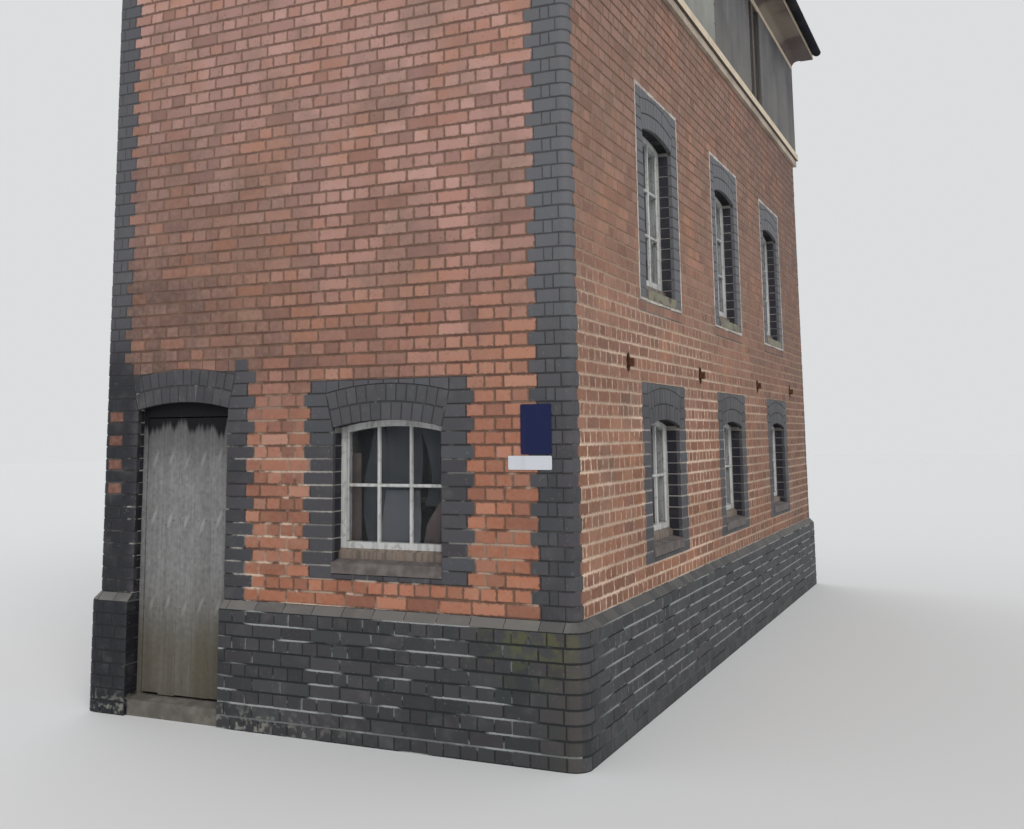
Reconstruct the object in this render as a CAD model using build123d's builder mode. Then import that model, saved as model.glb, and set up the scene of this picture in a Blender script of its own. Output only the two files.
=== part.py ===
from build123d import *
import math
import os

# Railway signal box: a narrow brick tower of two storeys under a timber operating storey.
# +Z is up and the base is at Z = 0, at the lowest ground round the building.
# The long track side faces -Y and the end with the door faces -X.
# Millimetres throughout. "Outset" is a distance outwards from the brick face.

# Plan of the brickwork above the plinth
length = 8992
width = 3810
wall = 330
bullnose = 57

# Courses and levels
course = 89
plinth_courses = 9
splay = 57
wall_courses = 54
plinth_outset = 57

# Openings
opening_width = 838
arch_rise = 50
arch_depth = 235
reveal = 112
lower_sill = 1077
lower_springing = 2050
upper_sill = 3013
upper_springing = 4354
window_pitch = 2420
end_window_offset = 571

# Door
door_springing = 2202
threshold_height = 130
threshold_overhang = 30
door_recess = 70
leaf_recess = 74
jamb_width = 38
jamb_depth = 95
door_head_height = 60
leaf_thickness = 27
ledge_thickness = 27
ledge_height = 150
ledge_levels = (788, 1379, 1849)
ledge_margin = 45
ledge_chamfer = 9
hinge_gap = 5
latch_gap = 8
leaf_gap = 8
strap_thickness = 6
strap_length = 520
pin_radius = 7
eye_radius = 12
eye_height = 40
pin_play = 0.5
pin_seat = 22

# Window joinery
stile = 45
frame_depth = 70
glass_thickness = 4
stone_sill_height = 90
stone_sill_outset = 12
timber_sill_height = 65
timber_sill_outset = 32
sill_fall = 18

# Floors
ground_floor_top = 120
upper_floor_top = 2600
operating_floor_top = 4850
floor_depth = 150

# Iron stubs of the floor ties, along the track side from the door end
stub_places = (1140, 3241, 5790, 7849)
stub_level = 2497
stub_width = 34
stub_height = 62
stub_length = 45
stub_rounding = 8

# Timber operating storey
band_lower_height = 78
band_lower_outset = 40
band_groove_height = 10
band_groove_outset = 30
band_upper_height = 95
band_upper_outset = 64
band_rounding = 22
post = 100
frame_outset = 26
sheet_thickness = 12
sheet_height = 1220
sheet_joint = 4
track_sheet_edges = (1779, 4219, 6030)
open_bay_width = 590
open_bay_post_offset = 270
rear_sheet_count = 4
end_sheet_count = 2
head_height = 119

# Eaves and roof
pitch = 30
eaves_outset = 331
board = 15
fascia_thickness = 25
fascia_height = 114
cove = 86
cove_lip = 14
roof_thickness = 70
roof_overhang = 45
barge_thickness = 28
barge_depth = 210
verge_overhang = 40
gutter_radius = 57
gutter_wall = 4
ridge_wing = 160
ridge_thickness = 14
ridge_roll = 30

# Fit between pieces that are set in one another
fit = 0.3

# Levels that follow
plinth_top = plinth_courses * course + splay
brick_top = plinth_top + wall_courses * course
band_top = brick_top + band_lower_height + band_groove_height + band_upper_height
sheet_top = band_top + sheet_height
soffit_level = sheet_top + head_height
eaves_level = soffit_level + fascia_height

# Distances that follow
half_length = length / 2
half_width = width / 2
sheet_outset = frame_outset + sheet_thickness
post_inset = post - frame_outset
half_eaves = half_width + eaves_outset
roof_edge = half_eaves + roof_overhang
eaves_length = length + 2 * sheet_outset
slope = math.tan(math.radians(pitch))
door_centre = half_width - wall - opening_width / 2
door_left = door_centre + opening_width / 2
door_right = door_centre - opening_width / 2
window_places = (-window_pitch, 0, window_pitch)
door_head = door_springing - door_head_height
pin_depth = leaf_recess + leaf_thickness + ledge_thickness + eye_radius
pin_x = -half_length + pin_depth
pin_y = door_left - jamb_width - hinge_gap - eye_radius
hinge_levels = (ledge_levels[0], ledge_levels[-1])
open_bay_start = track_sheet_edges[-1]
open_bay_end = open_bay_start + open_bay_width
open_bay_post = open_bay_start + open_bay_post_offset
open_bay_lights = (
    (open_bay_start, open_bay_post - post / 2),
    (open_bay_post + post / 2, open_bay_end),
)

parts_folder = "parts"
os.makedirs(parts_folder, exist_ok=True)


def roof_underside(distance):
    """Level of the roof's underside at a distance from the ridge line."""
    return eaves_level + (half_eaves - distance) * slope


def face_plane(side, along, outset=0):
    """A plane on a brick face: X to the right as seen from outside, Y up, Z outwards."""
    if side == "track":
        return Plane((along, -half_width - outset, 0), x_dir=(1, 0, 0), z_dir=(0, -1, 0))
    if side == "rear":
        return Plane((along, half_width + outset, 0), x_dir=(-1, 0, 0), z_dir=(0, 1, 0))
    if side == "door_end":
        return Plane((-half_length - outset, along, 0), x_dir=(0, -1, 0), z_dir=(-1, 0, 0))
    return Plane((half_length + outset, along, 0), x_dir=(0, 1, 0), z_dir=(1, 0, 0))


def section_plane(side, along):
    """A plane across a brick face: X outwards, Y up, Z to the left as seen from outside."""
    face = face_plane(side, along)
    return Plane(face.origin, x_dir=face.z_dir, z_dir=-face.x_dir)


def arched_outline(span, bottom, springing, mode=Mode.ADD):
    """A flat-bottomed opening under a segmental head."""
    half = span / 2
    with BuildLine() as outline:
        Polyline((-half, springing), (-half, bottom), (half, bottom), (half, springing))
        ThreePointArc((half, springing), (0, springing + arch_rise), (-half, springing))
    make_face(outline.edges(), mode=mode)


def arch_outline(springing, growth=0, mode=Mode.ADD):
    """The arch ring over an opening, with radial skewbacks."""
    half = opening_width / 2
    radius = (half**2 + arch_rise**2) / (2 * arch_rise)
    centre = springing + arch_rise - radius
    lean = math.asin(half / radius)
    inner = radius - growth
    outer = radius + arch_depth + growth
    spread = lean + growth / outer
    low = (inner * math.sin(spread), centre + inner * math.cos(spread))
    high = (outer * math.sin(spread), centre + outer * math.cos(spread))
    with BuildLine() as outline:
        ThreePointArc((-low[0], low[1]), (0, centre + inner), low)
        Line(low, high)
        ThreePointArc(high, (0, centre + outer), (-high[0], high[1]))
        Line((-high[0], high[1]), (-low[0], low[1]))
    make_face(outline.edges(), mode=mode)


def save(builder, name):
    """Label a finished piece and write it."""
    builder.part.label = name
    export_step(builder.part, f"{parts_folder}/{name}.step")


def masonry_ring(bottom, top, outset, corner, bevel=0):
    """A rectangular ring of brickwork with rounded outer corners and a splayed top."""
    with BuildPart() as ring:
        with BuildSketch(Plane.XY.offset(bottom)):
            RectangleRounded(length + 2 * outset, width + 2 * outset, corner)
        extrude(amount=top - bottom)
        if bevel > 0:
            chamfer(ring.edges().group_by(Axis.Z)[-1], length=bevel)
        with BuildSketch(Plane.XY.offset(bottom)):
            Rectangle(length - 2 * wall, width - 2 * wall)
        extrude(amount=top - bottom, mode=Mode.SUBTRACT)
    return ring.part


def keep_between(low, high, bottom, top):
    """Keep only what lies in a box given by two opposite plan corners."""
    with BuildSketch(Plane.XY.offset(bottom)) as region:
        with Locations(((low[0] + high[0]) / 2, (low[1] + high[1]) / 2)):
            Rectangle(high[0] - low[0], high[1] - low[1])
    extrude(region.sketch, amount=top - bottom, mode=Mode.INTERSECT)


def ring_regions(depth):
    """Opposite plan corners of the four sides of a ring, the long sides taking its corners."""
    reach = plinth_outset + bullnose
    outer_x = half_length + reach
    outer_y = half_width + reach
    inner_x = half_length - depth
    inner_y = half_width - depth
    return {
        "track_side": ((-outer_x, -outer_y), (outer_x, -inner_y)),
        "rear": ((-outer_x, inner_y), (outer_x, outer_y)),
        "door_end": ((-outer_x, -inner_y), (-inner_x, inner_y)),
        "far_end": ((inner_x, -inner_y), (outer_x, inner_y)),
    }


# The door's left jamb is the end of the rear wall, so the door end stops at its right jamb
masonry_regions = ring_regions(wall)
masonry_regions["door_end"] = (masonry_regions["door_end"][0], (wall - half_length, door_right))

# Plinth of blue brick with a splayed cap course
plinth_ring = masonry_ring(0, plinth_top, plinth_outset, bullnose + plinth_outset, splay)
for side, region in masonry_regions.items():
    with BuildPart() as plinth:
        add(plinth_ring)
        keep_between(*region, 0, plinth_top)
    save(plinth, f"plinth_{side}")

# Window openings of each face: place along it, sill level and springing level
side_windows = [(place, lower_sill, lower_springing) for place in window_places]
side_windows += [(place, upper_sill, upper_springing) for place in window_places]
end_windows = [(-end_window_offset, lower_sill, lower_springing)]
openings = {"track": side_windows, "rear": side_windows, "door_end": end_windows, "far_end": end_windows}


def cut_openings(face):
    """Cut a face's window openings and the seats of their arches through the wall."""
    for along, sill, springing in openings[face]:
        with BuildSketch(face_plane(face, along)) as cut:
            arched_outline(opening_width, sill, springing)
            arch_outline(springing, fit)
        extrude(cut.sketch, amount=-wall, mode=Mode.SUBTRACT)


def cut_door_arch():
    """Cut the seat of the arch over the door."""
    with BuildSketch(face_plane("door_end", door_centre)) as cut:
        arch_outline(door_springing, fit)
    extrude(cut.sketch, amount=-wall, mode=Mode.SUBTRACT)


# Brick walls above the plinth, the long walls taking the corners
wall_ring = masonry_ring(plinth_top, brick_top, 0, bullnose)

with BuildPart() as wall_track_side:
    add(wall_ring)
    keep_between(*masonry_regions["track_side"], plinth_top, brick_top)
    cut_openings("track")
save(wall_track_side, "wall_track_side")

with BuildPart() as wall_rear:
    add(wall_ring)
    keep_between(*masonry_regions["rear"], plinth_top, brick_top)
    cut_openings("rear")
    cut_door_arch()
save(wall_rear, "wall_rear")

with BuildPart() as wall_far_end:
    add(wall_ring)
    keep_between(*masonry_regions["far_end"], plinth_top, brick_top)
    cut_openings("far_end")
save(wall_far_end, "wall_far_end")

with BuildPart() as wall_door_end:
    add(wall_ring)
    keep_between(*masonry_regions["door_end"], plinth_top, brick_top)
    cut_openings("door_end")
    cut_door_arch()
save(wall_door_end, "wall_door_end")

with BuildPart() as wall_over_door:
    with BuildSketch(face_plane("door_end", door_centre)):
        with Locations((0, (door_springing + brick_top) / 2)):
            Rectangle(opening_width, brick_top - door_springing)
        arched_outline(opening_width, threshold_height, door_springing, mode=Mode.SUBTRACT)
        arch_outline(door_springing, fit, mode=Mode.SUBTRACT)
    extrude(amount=-wall)
save(wall_over_door, "wall_over_door")

# Segmental arches of blue brick, one brick deep and as thick as the wall
with BuildPart() as door_arch:
    with BuildSketch(face_plane("door_end", door_centre)):
        arch_outline(door_springing)
    extrude(amount=-wall)
save(door_arch, "door_arch")

for name, faces in (("track", ["track"]), ("rear", ["rear"]), ("end", ["door_end", "far_end"])):
    with BuildPart() as window_arches:
        for face in faces:
            for along, sill, springing in openings[face]:
                with BuildSketch(face_plane(face, along)):
                    arch_outline(springing)
                extrude(amount=-wall)
    save(window_arches, f"{name}_window_arches")

# Stone sill under every window, its top falling outwards
with BuildPart() as window_sills:
    for face, places in openings.items():
        for along, sill, springing in places:
            top = sill + stone_sill_height
            with BuildSketch(section_plane(face, along)):
                with BuildLine():
                    Polyline(
                        (stone_sill_outset, sill),
                        (stone_sill_outset, top - sill_fall),
                        (timber_sill_outset - reveal, top),
                        (-wall, top),
                        (-wall, sill),
                        close=True,
                    )
                make_face()
            extrude(amount=opening_width / 2 - fit, both=True)
save(window_sills, "window_sills")

# Window frames on a timber sill, with one sheet of glass in each
for name, faces in (("track", ["track"]), ("rear", ["rear"]), ("end", ["door_end", "far_end"])):
    with BuildPart() as window_frames:
        for face in faces:
            for along, sill, springing in openings[face]:
                sill_bottom = sill + stone_sill_height
                frame_bottom = sill_bottom + timber_sill_height
                with BuildSketch(face_plane(face, along, -reveal)):
                    arched_outline(opening_width - 2 * fit, frame_bottom, springing - fit)
                    offset(amount=-stile, mode=Mode.SUBTRACT)
                extrude(amount=-frame_depth)
                with BuildSketch(section_plane(face, along)):
                    with BuildLine():
                        Polyline(
                            (timber_sill_outset - reveal, sill_bottom),
                            (timber_sill_outset - reveal, frame_bottom - sill_fall),
                            (-reveal, frame_bottom),
                            (-reveal - frame_depth, frame_bottom),
                            (-reveal - frame_depth, sill_bottom),
                            close=True,
                        )
                    make_face()
                extrude(amount=opening_width / 2 - fit, both=True)
    save(window_frames, f"{name}_window_frames")

    with BuildPart() as glass:
        for face in faces:
            for along, sill, springing in openings[face]:
                frame_bottom = sill + stone_sill_height + timber_sill_height
                with BuildSketch(face_plane(face, along, -reveal - frame_depth / 2)):
                    arched_outline(opening_width - 2 * fit, frame_bottom, springing - fit)
                    offset(amount=-stile - fit)
                extrude(amount=-glass_thickness)
        if name == "track":
            for low, high in open_bay_lights:
                with BuildSketch(face_plane("track", (low + high) / 2 - half_length)):
                    with Locations((0, (band_top + sheet_top) / 2)):
                        Rectangle(high - low, sheet_height)
                extrude(amount=-glass_thickness)
    save(glass, f"{name}_glass")

# Iron stubs of the floor ties in the track side
with BuildPart() as iron_stubs:
    for place in stub_places:
        with BuildSketch(face_plane("track", place - half_length)):
            with Locations((0, stub_level)):
                RectangleRounded(stub_width, stub_height, stub_rounding)
        extrude(amount=stub_length)
save(iron_stubs, "iron_stubs")

# Floors: brick paving on the ground, timber decks above
inner_length = length - 2 * wall
inner_width = width - 2 * wall
decks = (
    ("ground_floor", ground_floor_top, ground_floor_top),
    ("upper_floor", upper_floor_top, floor_depth),
    ("operating_floor", operating_floor_top, floor_depth),
)
for name, top, depth in decks:
    with BuildPart() as deck:
        with BuildSketch(Plane.XY.offset(top - depth)):
            Rectangle(inner_length, inner_width)
        extrude(amount=depth)
    save(deck, name)

# Door threshold, a stone as long as the opening is wide
with BuildPart() as threshold:
    with BuildSketch(section_plane("door_end", door_centre)):
        with BuildLine():
            Polyline(
                (-wall, 0),
                (threshold_overhang, 0),
                (threshold_overhang, threshold_height - sill_fall),
                (-door_recess, threshold_height),
                (-wall, threshold_height),
                close=True,
            )
        make_face()
    extrude(amount=opening_width / 2, both=True)
save(threshold, "threshold")

# Door frame, its head filling the arch
with BuildPart() as door_frame:
    with BuildSketch(face_plane("door_end", door_centre, -door_recess)):
        arched_outline(opening_width - 2 * fit, threshold_height, door_springing - fit)
        with Locations((0, (threshold_height + door_head) / 2)):
            Rectangle(opening_width - 2 * jamb_width, door_head - threshold_height, mode=Mode.SUBTRACT)
    extrude(amount=-jamb_depth)
save(door_frame, "door_frame")

# Door leaf of upright boards on three ledges
leaf_hinge_edge = door_left - jamb_width - hinge_gap
leaf_latch_edge = door_right + jamb_width + latch_gap
leaf_width = leaf_hinge_edge - leaf_latch_edge
leaf_centre = (leaf_hinge_edge + leaf_latch_edge) / 2
leaf_bottom = threshold_height + leaf_gap
leaf_top = door_head - leaf_gap

with BuildPart() as door_boards:
    with BuildSketch(face_plane("door_end", leaf_centre, -leaf_recess)):
        with Locations((0, (leaf_bottom + leaf_top) / 2)):
            Rectangle(leaf_width, leaf_top - leaf_bottom)
    extrude(amount=-leaf_thickness)
save(door_boards, "door_boards")

with BuildPart() as door_ledges:
    with BuildSketch(face_plane("door_end", leaf_centre, -leaf_recess - leaf_thickness)):
        for level in ledge_levels:
            with Locations((0, level)):
                Rectangle(leaf_width - 2 * ledge_margin, ledge_height)
    extrude(amount=-ledge_thickness)
    chamfer(door_ledges.faces().sort_by(Axis.X)[-1].edges(), length=ledge_chamfer)
save(door_ledges, "door_ledges")

# Strap hinges across the upper and lower ledges, turning on pins in the frame
with BuildPart() as door_straps:
    for level in hinge_levels:
        with BuildSketch(Plane.XY.offset(level - eye_height / 2)):
            with Locations((pin_x, pin_y)):
                Circle(eye_radius)
            with Locations((pin_x - eye_radius + strap_thickness / 2, pin_y - strap_length / 2)):
                Rectangle(strap_thickness, strap_length)
            with Locations((pin_x, pin_y)):
                Circle(pin_radius + pin_play, mode=Mode.SUBTRACT)
        extrude(amount=eye_height)
save(door_straps, "door_straps")

with BuildPart() as door_pins:
    for level in hinge_levels:
        seat_bottom = level - eye_height / 2 - hinge_gap - pin_seat
        with BuildSketch(Plane.XY.offset(seat_bottom)):
            with Locations((pin_x, pin_y)):
                Circle(pin_radius)
        extrude(amount=pin_seat + hinge_gap + eye_height + hinge_gap)
        with BuildSketch(Plane.XY.offset(seat_bottom)):
            with Locations((pin_x, (pin_y + door_left - jamb_width) / 2)):
                Rectangle(2 * pin_radius, door_left - jamb_width - pin_y)
        extrude(amount=pin_seat)
save(door_pins, "door_pins")

# Moulded sill band on top of the brickwork
with BuildPart() as band_ring:
    with BuildSketch(Plane.XY.offset(brick_top)):
        Rectangle(length + 2 * band_lower_outset, width + 2 * band_lower_outset)
    extrude(amount=band_lower_height)
    with BuildSketch(Plane.XY.offset(brick_top + band_lower_height)):
        Rectangle(length + 2 * band_groove_outset, width + 2 * band_groove_outset)
    extrude(amount=band_groove_height)
    with BuildSketch(Plane.XY.offset(band_top - band_upper_height)):
        Rectangle(length + 2 * band_upper_outset, width + 2 * band_upper_outset)
    extrude(amount=band_upper_height)
    fillet(band_ring.edges().group_by(Axis.Z)[-1], radius=band_rounding)
    with BuildSketch(Plane.XY.offset(brick_top)):
        Rectangle(length - 2 * post_inset, width - 2 * post_inset)
    extrude(amount=band_top - brick_top, mode=Mode.SUBTRACT)

band_regions = ring_regions(post_inset)
for name, pair in (("sides", ("track_side", "rear")), ("ends", ("door_end", "far_end"))):
    with BuildPart() as sill_band:
        add(band_ring.part)
        with BuildSketch(Plane.XY.offset(brick_top)):
            for side in pair:
                low, high = band_regions[side]
                with Locations(((low[0] + high[0]) / 2, (low[1] + high[1]) / 2)):
                    Rectangle(high[0] - low[0], high[1] - low[1])
        extrude(amount=band_top - brick_top, mode=Mode.INTERSECT)
    save(sill_band, f"sill_band_{name}")

# Posts of the operating storey: corners, sheet joints and the bay left open
post_x = half_length + frame_outset - post / 2
post_y = half_width + frame_outset - post / 2
track_posts = [track_sheet_edges[0], track_sheet_edges[1], open_bay_start - post / 2]
track_posts += [open_bay_post, open_bay_end + post / 2]
with BuildPart() as storey_posts:
    with BuildSketch(Plane.XY.offset(band_top)):
        with GridLocations(2 * post_x, 2 * post_y, 2, 2):
            Rectangle(post, post)
        with Locations([(place - half_length, -post_y) for place in track_posts]):
            Rectangle(post, post)
        with Locations((0, post_y)):
            with GridLocations(length / rear_sheet_count, 0, rear_sheet_count - 1, 1):
                Rectangle(post, post)
        with GridLocations(2 * post_x, width / end_sheet_count, 2, end_sheet_count - 1):
            Rectangle(post, post)
    extrude(amount=sheet_height)
save(storey_posts, "storey_posts")


# Weathered sheets nailed over the window strip
def sheet_row(face, edges):
    """Sheets from one edge to the next, with open joints."""
    for low, high in edges:
        with BuildSketch(face_plane(face, 0, frame_outset)) as sheet:
            with Locations(((low + high) / 2, (band_top + sheet_top) / 2)):
                Rectangle(high - low - sheet_joint, sheet_height)
        extrude(sheet.sketch, amount=sheet_thickness)


def equal_bays(extent, count):
    """Edges of equal sheets over a face."""
    bay = extent / count
    return [(bay * index - extent / 2, bay * (index + 1) - extent / 2) for index in range(count)]


track_edges = [-sheet_outset, *track_sheet_edges]
track_bays = [(low - half_length, high - half_length) for low, high in zip(track_edges, track_edges[1:])]
track_bays.append((open_bay_end - half_length, half_length + sheet_outset))
with BuildPart() as track_sheets:
    sheet_row("track", track_bays)
save(track_sheets, "track_sheets")

with BuildPart() as rear_sheets:
    sheet_row("rear", equal_bays(length + 2 * sheet_outset, rear_sheet_count))
save(rear_sheets, "rear_sheets")

with BuildPart() as end_sheets:
    for face in ("door_end", "far_end"):
        sheet_row(face, equal_bays(width + 2 * frame_outset, end_sheet_count))
save(end_sheets, "end_sheets")

# Wall plates along the sides, bevelled to the rafters
with BuildPart() as wall_plates:
    for face in ("track", "rear"):
        with BuildSketch(section_plane(face, 0)):
            with BuildLine():
                Polyline(
                    (frame_outset, sheet_top),
                    (frame_outset, roof_underside(half_width + frame_outset)),
                    (-post_inset, roof_underside(half_width - post_inset)),
                    (-post_inset, sheet_top),
                    close=True,
                )
            make_face()
        extrude(amount=half_length - post_inset, both=True)
save(wall_plates, "wall_plates")

# Boarded gables on their tie beams
gable_half = half_width + frame_outset
with BuildPart() as gables:
    for face in ("door_end", "far_end"):
        with BuildSketch(face_plane(face, 0, sheet_outset)):
            with BuildLine():
                Polyline(
                    (-gable_half, sheet_top),
                    (gable_half, sheet_top),
                    (gable_half, roof_underside(gable_half)),
                    (0, roof_underside(0)),
                    (-gable_half, roof_underside(gable_half)),
                    close=True,
                )
            make_face()
        extrude(amount=-sheet_outset - post_inset)
save(gables, "gables")

# Boxed eaves: coved bed mould, soffit board and fascia
with BuildPart() as eaves_boxes:
    for face in ("track", "rear"):
        lip = frame_outset + cove_lip
        with BuildSketch(section_plane(face, 0)):
            with BuildLine():
                Polyline((frame_outset, soffit_level + board), (frame_outset, sheet_top), (lip, sheet_top))
                Line((lip, sheet_top), (lip, soffit_level - cove))
                RadiusArc((lip, soffit_level - cove), (lip + cove, soffit_level), cove)
                Polyline(
                    (lip + cove, soffit_level),
                    (eaves_outset, soffit_level),
                    (eaves_outset, eaves_level),
                    (eaves_outset - fascia_thickness, eaves_level),
                    (eaves_outset - fascia_thickness, soffit_level + board),
                    (frame_outset, soffit_level + board),
                )
            make_face()
        extrude(amount=eaves_length / 2, both=True)
save(eaves_boxes, "eaves_boxes")

# Half-round gutters with stop ends
gutter_centre = eaves_outset + gutter_radius + fit
gutter_rim = roof_underside(roof_edge) - fit


def half_round(radius):
    """A half disc hanging from the gutter's rim."""
    with Locations((gutter_centre, gutter_rim)):
        Circle(radius)
    with Locations((gutter_centre, gutter_rim + radius)):
        Rectangle(2 * radius, 2 * radius, mode=Mode.SUBTRACT)


with BuildPart() as gutters:
    for face in ("track", "rear"):
        with BuildSketch(section_plane(face, 0)):
            half_round(gutter_radius)
        extrude(amount=eaves_length / 2, both=True)
        with BuildSketch(section_plane(face, 0)):
            with Locations((gutter_centre, gutter_rim)):
                Circle(gutter_radius - gutter_wall)
        extrude(amount=eaves_length / 2 - gutter_wall, both=True, mode=Mode.SUBTRACT)
save(gutters, "gutters")

# Roof slopes of slate on boarding, meeting under the ridge
roof_half_length = eaves_length / 2 + barge_thickness + verge_overhang
roof_rise = roof_thickness / math.cos(math.radians(pitch))
for face, name in (("track", "roof_track_side"), ("rear", "roof_rear")):
    with BuildPart() as roof_slope:
        with BuildSketch(section_plane(face, 0)):
            with BuildLine():
                Polyline(
                    (roof_edge - half_width, roof_underside(roof_edge)),
                    (roof_edge - half_width, roof_underside(roof_edge) + roof_rise),
                    (-half_width, roof_underside(0) + roof_rise),
                    (-half_width, roof_underside(0)),
                    close=True,
                )
            make_face()
        extrude(amount=roof_half_length, both=True)
    save(roof_slope, name)

# Ridge of angular tiles with a roll along the top
ridge_half = ridge_wing * math.cos(math.radians(pitch))
ridge_rise = ridge_thickness / math.cos(math.radians(pitch))
ridge_level = roof_underside(0) + roof_rise
with BuildPart() as ridge_tiles:
    with BuildSketch(face_plane("far_end", 0, -half_length)):
        with BuildLine():
            Polyline(
                (-ridge_half, ridge_level - ridge_half * slope),
                (0, ridge_level),
                (ridge_half, ridge_level - ridge_half * slope),
                (ridge_half, ridge_level - ridge_half * slope + ridge_rise),
                (0, ridge_level + ridge_rise),
                (-ridge_half, ridge_level - ridge_half * slope + ridge_rise),
                close=True,
            )
        make_face()
        with Locations((0, ridge_level + ridge_rise + ridge_roll / 2)):
            Circle(ridge_roll)
    extrude(amount=roof_half_length, both=True)
save(ridge_tiles, "ridge_tiles")

# Barge boards on the gables, their feet closing the eaves boxes
barge_foot = half_eaves - (barge_depth - fascia_height) / slope
with BuildPart() as barge_boards:
    for face in ("door_end", "far_end"):
        with BuildSketch(face_plane(face, 0, sheet_outset)):
            with BuildLine():
                Polyline(
                    (-half_eaves, soffit_level),
                    (-half_eaves, eaves_level),
                    (0, roof_underside(0)),
                    (half_eaves, eaves_level),
                    (half_eaves, soffit_level),
                    (barge_foot, soffit_level),
                    (0, roof_underside(0) - barge_depth),
                    (-barge_foot, soffit_level),
                    close=True,
                )
            make_face()
        extrude(amount=barge_thickness)
save(barge_boards, "barge_boards")
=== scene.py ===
# %% [markdown]
# # A railway signal box in brick and timber
# The building comes from the CAD model as a fixed frame of named nodes. This lesson dresses it:
# bricks are laid one by one over the CAD walls, which then serve as the mortar between them.
# Loading the frame first means that every later piece can be measured from it.

# %% Load the frame
import math
from collections import defaultdict, namedtuple
from functools import partialmethod

import bmesh
import bpy
import numpy as np
from mathutils import Matrix, Quaternion, Vector


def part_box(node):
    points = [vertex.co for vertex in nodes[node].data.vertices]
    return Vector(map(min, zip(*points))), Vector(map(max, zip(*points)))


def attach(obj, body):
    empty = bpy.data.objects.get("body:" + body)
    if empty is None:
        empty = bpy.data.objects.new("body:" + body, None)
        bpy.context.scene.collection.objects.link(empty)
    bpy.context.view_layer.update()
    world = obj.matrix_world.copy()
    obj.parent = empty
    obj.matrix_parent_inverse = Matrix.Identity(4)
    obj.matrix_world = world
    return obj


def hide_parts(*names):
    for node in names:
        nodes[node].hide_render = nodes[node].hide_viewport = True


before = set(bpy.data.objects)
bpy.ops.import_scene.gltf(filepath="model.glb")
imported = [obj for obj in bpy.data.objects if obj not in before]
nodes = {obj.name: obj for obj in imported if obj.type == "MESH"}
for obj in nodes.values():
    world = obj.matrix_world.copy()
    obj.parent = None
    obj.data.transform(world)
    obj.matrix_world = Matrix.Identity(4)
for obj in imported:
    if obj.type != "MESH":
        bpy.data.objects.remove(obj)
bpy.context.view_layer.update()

# %% [markdown]
# The main sizes are read from the nodes, so the bricks follow the walls if those ever change.
# A brick course with its joint is 89 mm high, a header with its joint 117.5 mm and a stretcher
# twice that. English bond lays a course of headers on a course of stretchers. Blue bricks are
# laid with finer joints, so each is spread a little.

# %% Sizes of the brickwork
wall_low, wall_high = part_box("wall_track_side")
half_length, half_width = wall_high.x, -wall_low.y
plinth_top, brick_top = wall_low.z, wall_high.z
plinth_outset = wall_low.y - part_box("plinth_track_side")[0].y
splay = plinth_outset
course, header = 0.089, 0.1175
stretcher = 2 * header
joint, head_joint = 0.011, 0.008
closer = 0.061
blue_spread = 0.0015
bullnose = 0.057
proud = 0.004
arris = 0.003
into_opening = 0.003
wall_courses = round((brick_top - plinth_top) / course)
print("wall courses:", wall_courses, "plinth outset:", round(plinth_outset, 3))

# %% [markdown]
# The openings are listed once: where each is along its wall, its sill level, the level where its
# arch springs, and how far the blue brick reaches beyond it, on its low and its high side, in
# stretcher and in header courses. A jamb whose two reaches differ is toothed into the red wall,
# as round the window beside the door.

# %% Openings of each wall
opening_half = 0.419
least_below_sill = 0.03
arch_rise, arch_depth = 0.050, 0.235
arch_radius = (opening_half**2 + arch_rise**2) / (2 * arch_rise)
arch_lean = math.asin(opening_half / arch_radius)
extrados = arch_radius + arch_depth
ring_half = extrados * math.sin(arch_lean)
reveal, door_recess = 0.112, 0.070
short_of_frame = 0.006
lower_sill, lower_springing = 1.077, 2.050
upper_sill, upper_springing = 3.013, 4.354
door_centre, door_springing = 1.156, 2.202
window_pitch = 2.420
end_window = -0.571
lower_teeth, upper_teeth, end_teeth = (0.180, 0.210), (0.178, 0.178), (0.178, 0.235)
door_teeth = ((0.165, 0.235), (0.34, 0.34))


class Opening:
    """A window or door, the levels of its arch, and the foot and head of its blue surround."""

    def __init__(self, place, sill, springing, low_teeth, high_teeth, depth=reveal):
        self.place, self.sill, self.springing = place, sill, springing
        self.teeth = {-1: low_teeth, 1: high_teeth}
        self.depth = depth - short_of_frame
        self.centre = springing + arch_rise - arch_radius
        self.corner = self.centre + extrados * math.cos(arch_lean)
        self.crown = springing + arch_rise + arch_depth
        self.foot = plinth_top + course * math.floor((sill - least_below_sill - plinth_top) / course)
        self.head = plinth_top + course * math.ceil((self.crown - plinth_top) / course)


side_windows = []
for place in (-window_pitch, 0.0, window_pitch):
    side_windows.append(Opening(place, lower_sill, lower_springing, lower_teeth, lower_teeth))
    side_windows.append(Opening(place, upper_sill, upper_springing, upper_teeth, upper_teeth))
lower_window, upper_window = side_windows[:2]
end_windows = [Opening(end_window, lower_sill, lower_springing, end_teeth, end_teeth)]
doorway = Opening(door_centre, 0.0, door_springing, *door_teeth, door_recess)
openings = {"track": side_windows, "rear": side_windows, "door_end": end_windows + [doorway],
            "far_end": end_windows}
print("openings:", {side: len(found) for side, found in openings.items()})

# %% [markdown]
# The photograph was taken from head height beside the door end, looking up along the track side.
# The camera stands in the same place. A small vertical shift keeps the walls nearly upright, as a
# building photographer would do with a shift lens.

# %% Camera
def add_object(name, data):
    """A new object in the scene."""
    made = bpy.data.objects.new(name, data)
    bpy.context.scene.collection.objects.link(made)
    return made


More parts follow.
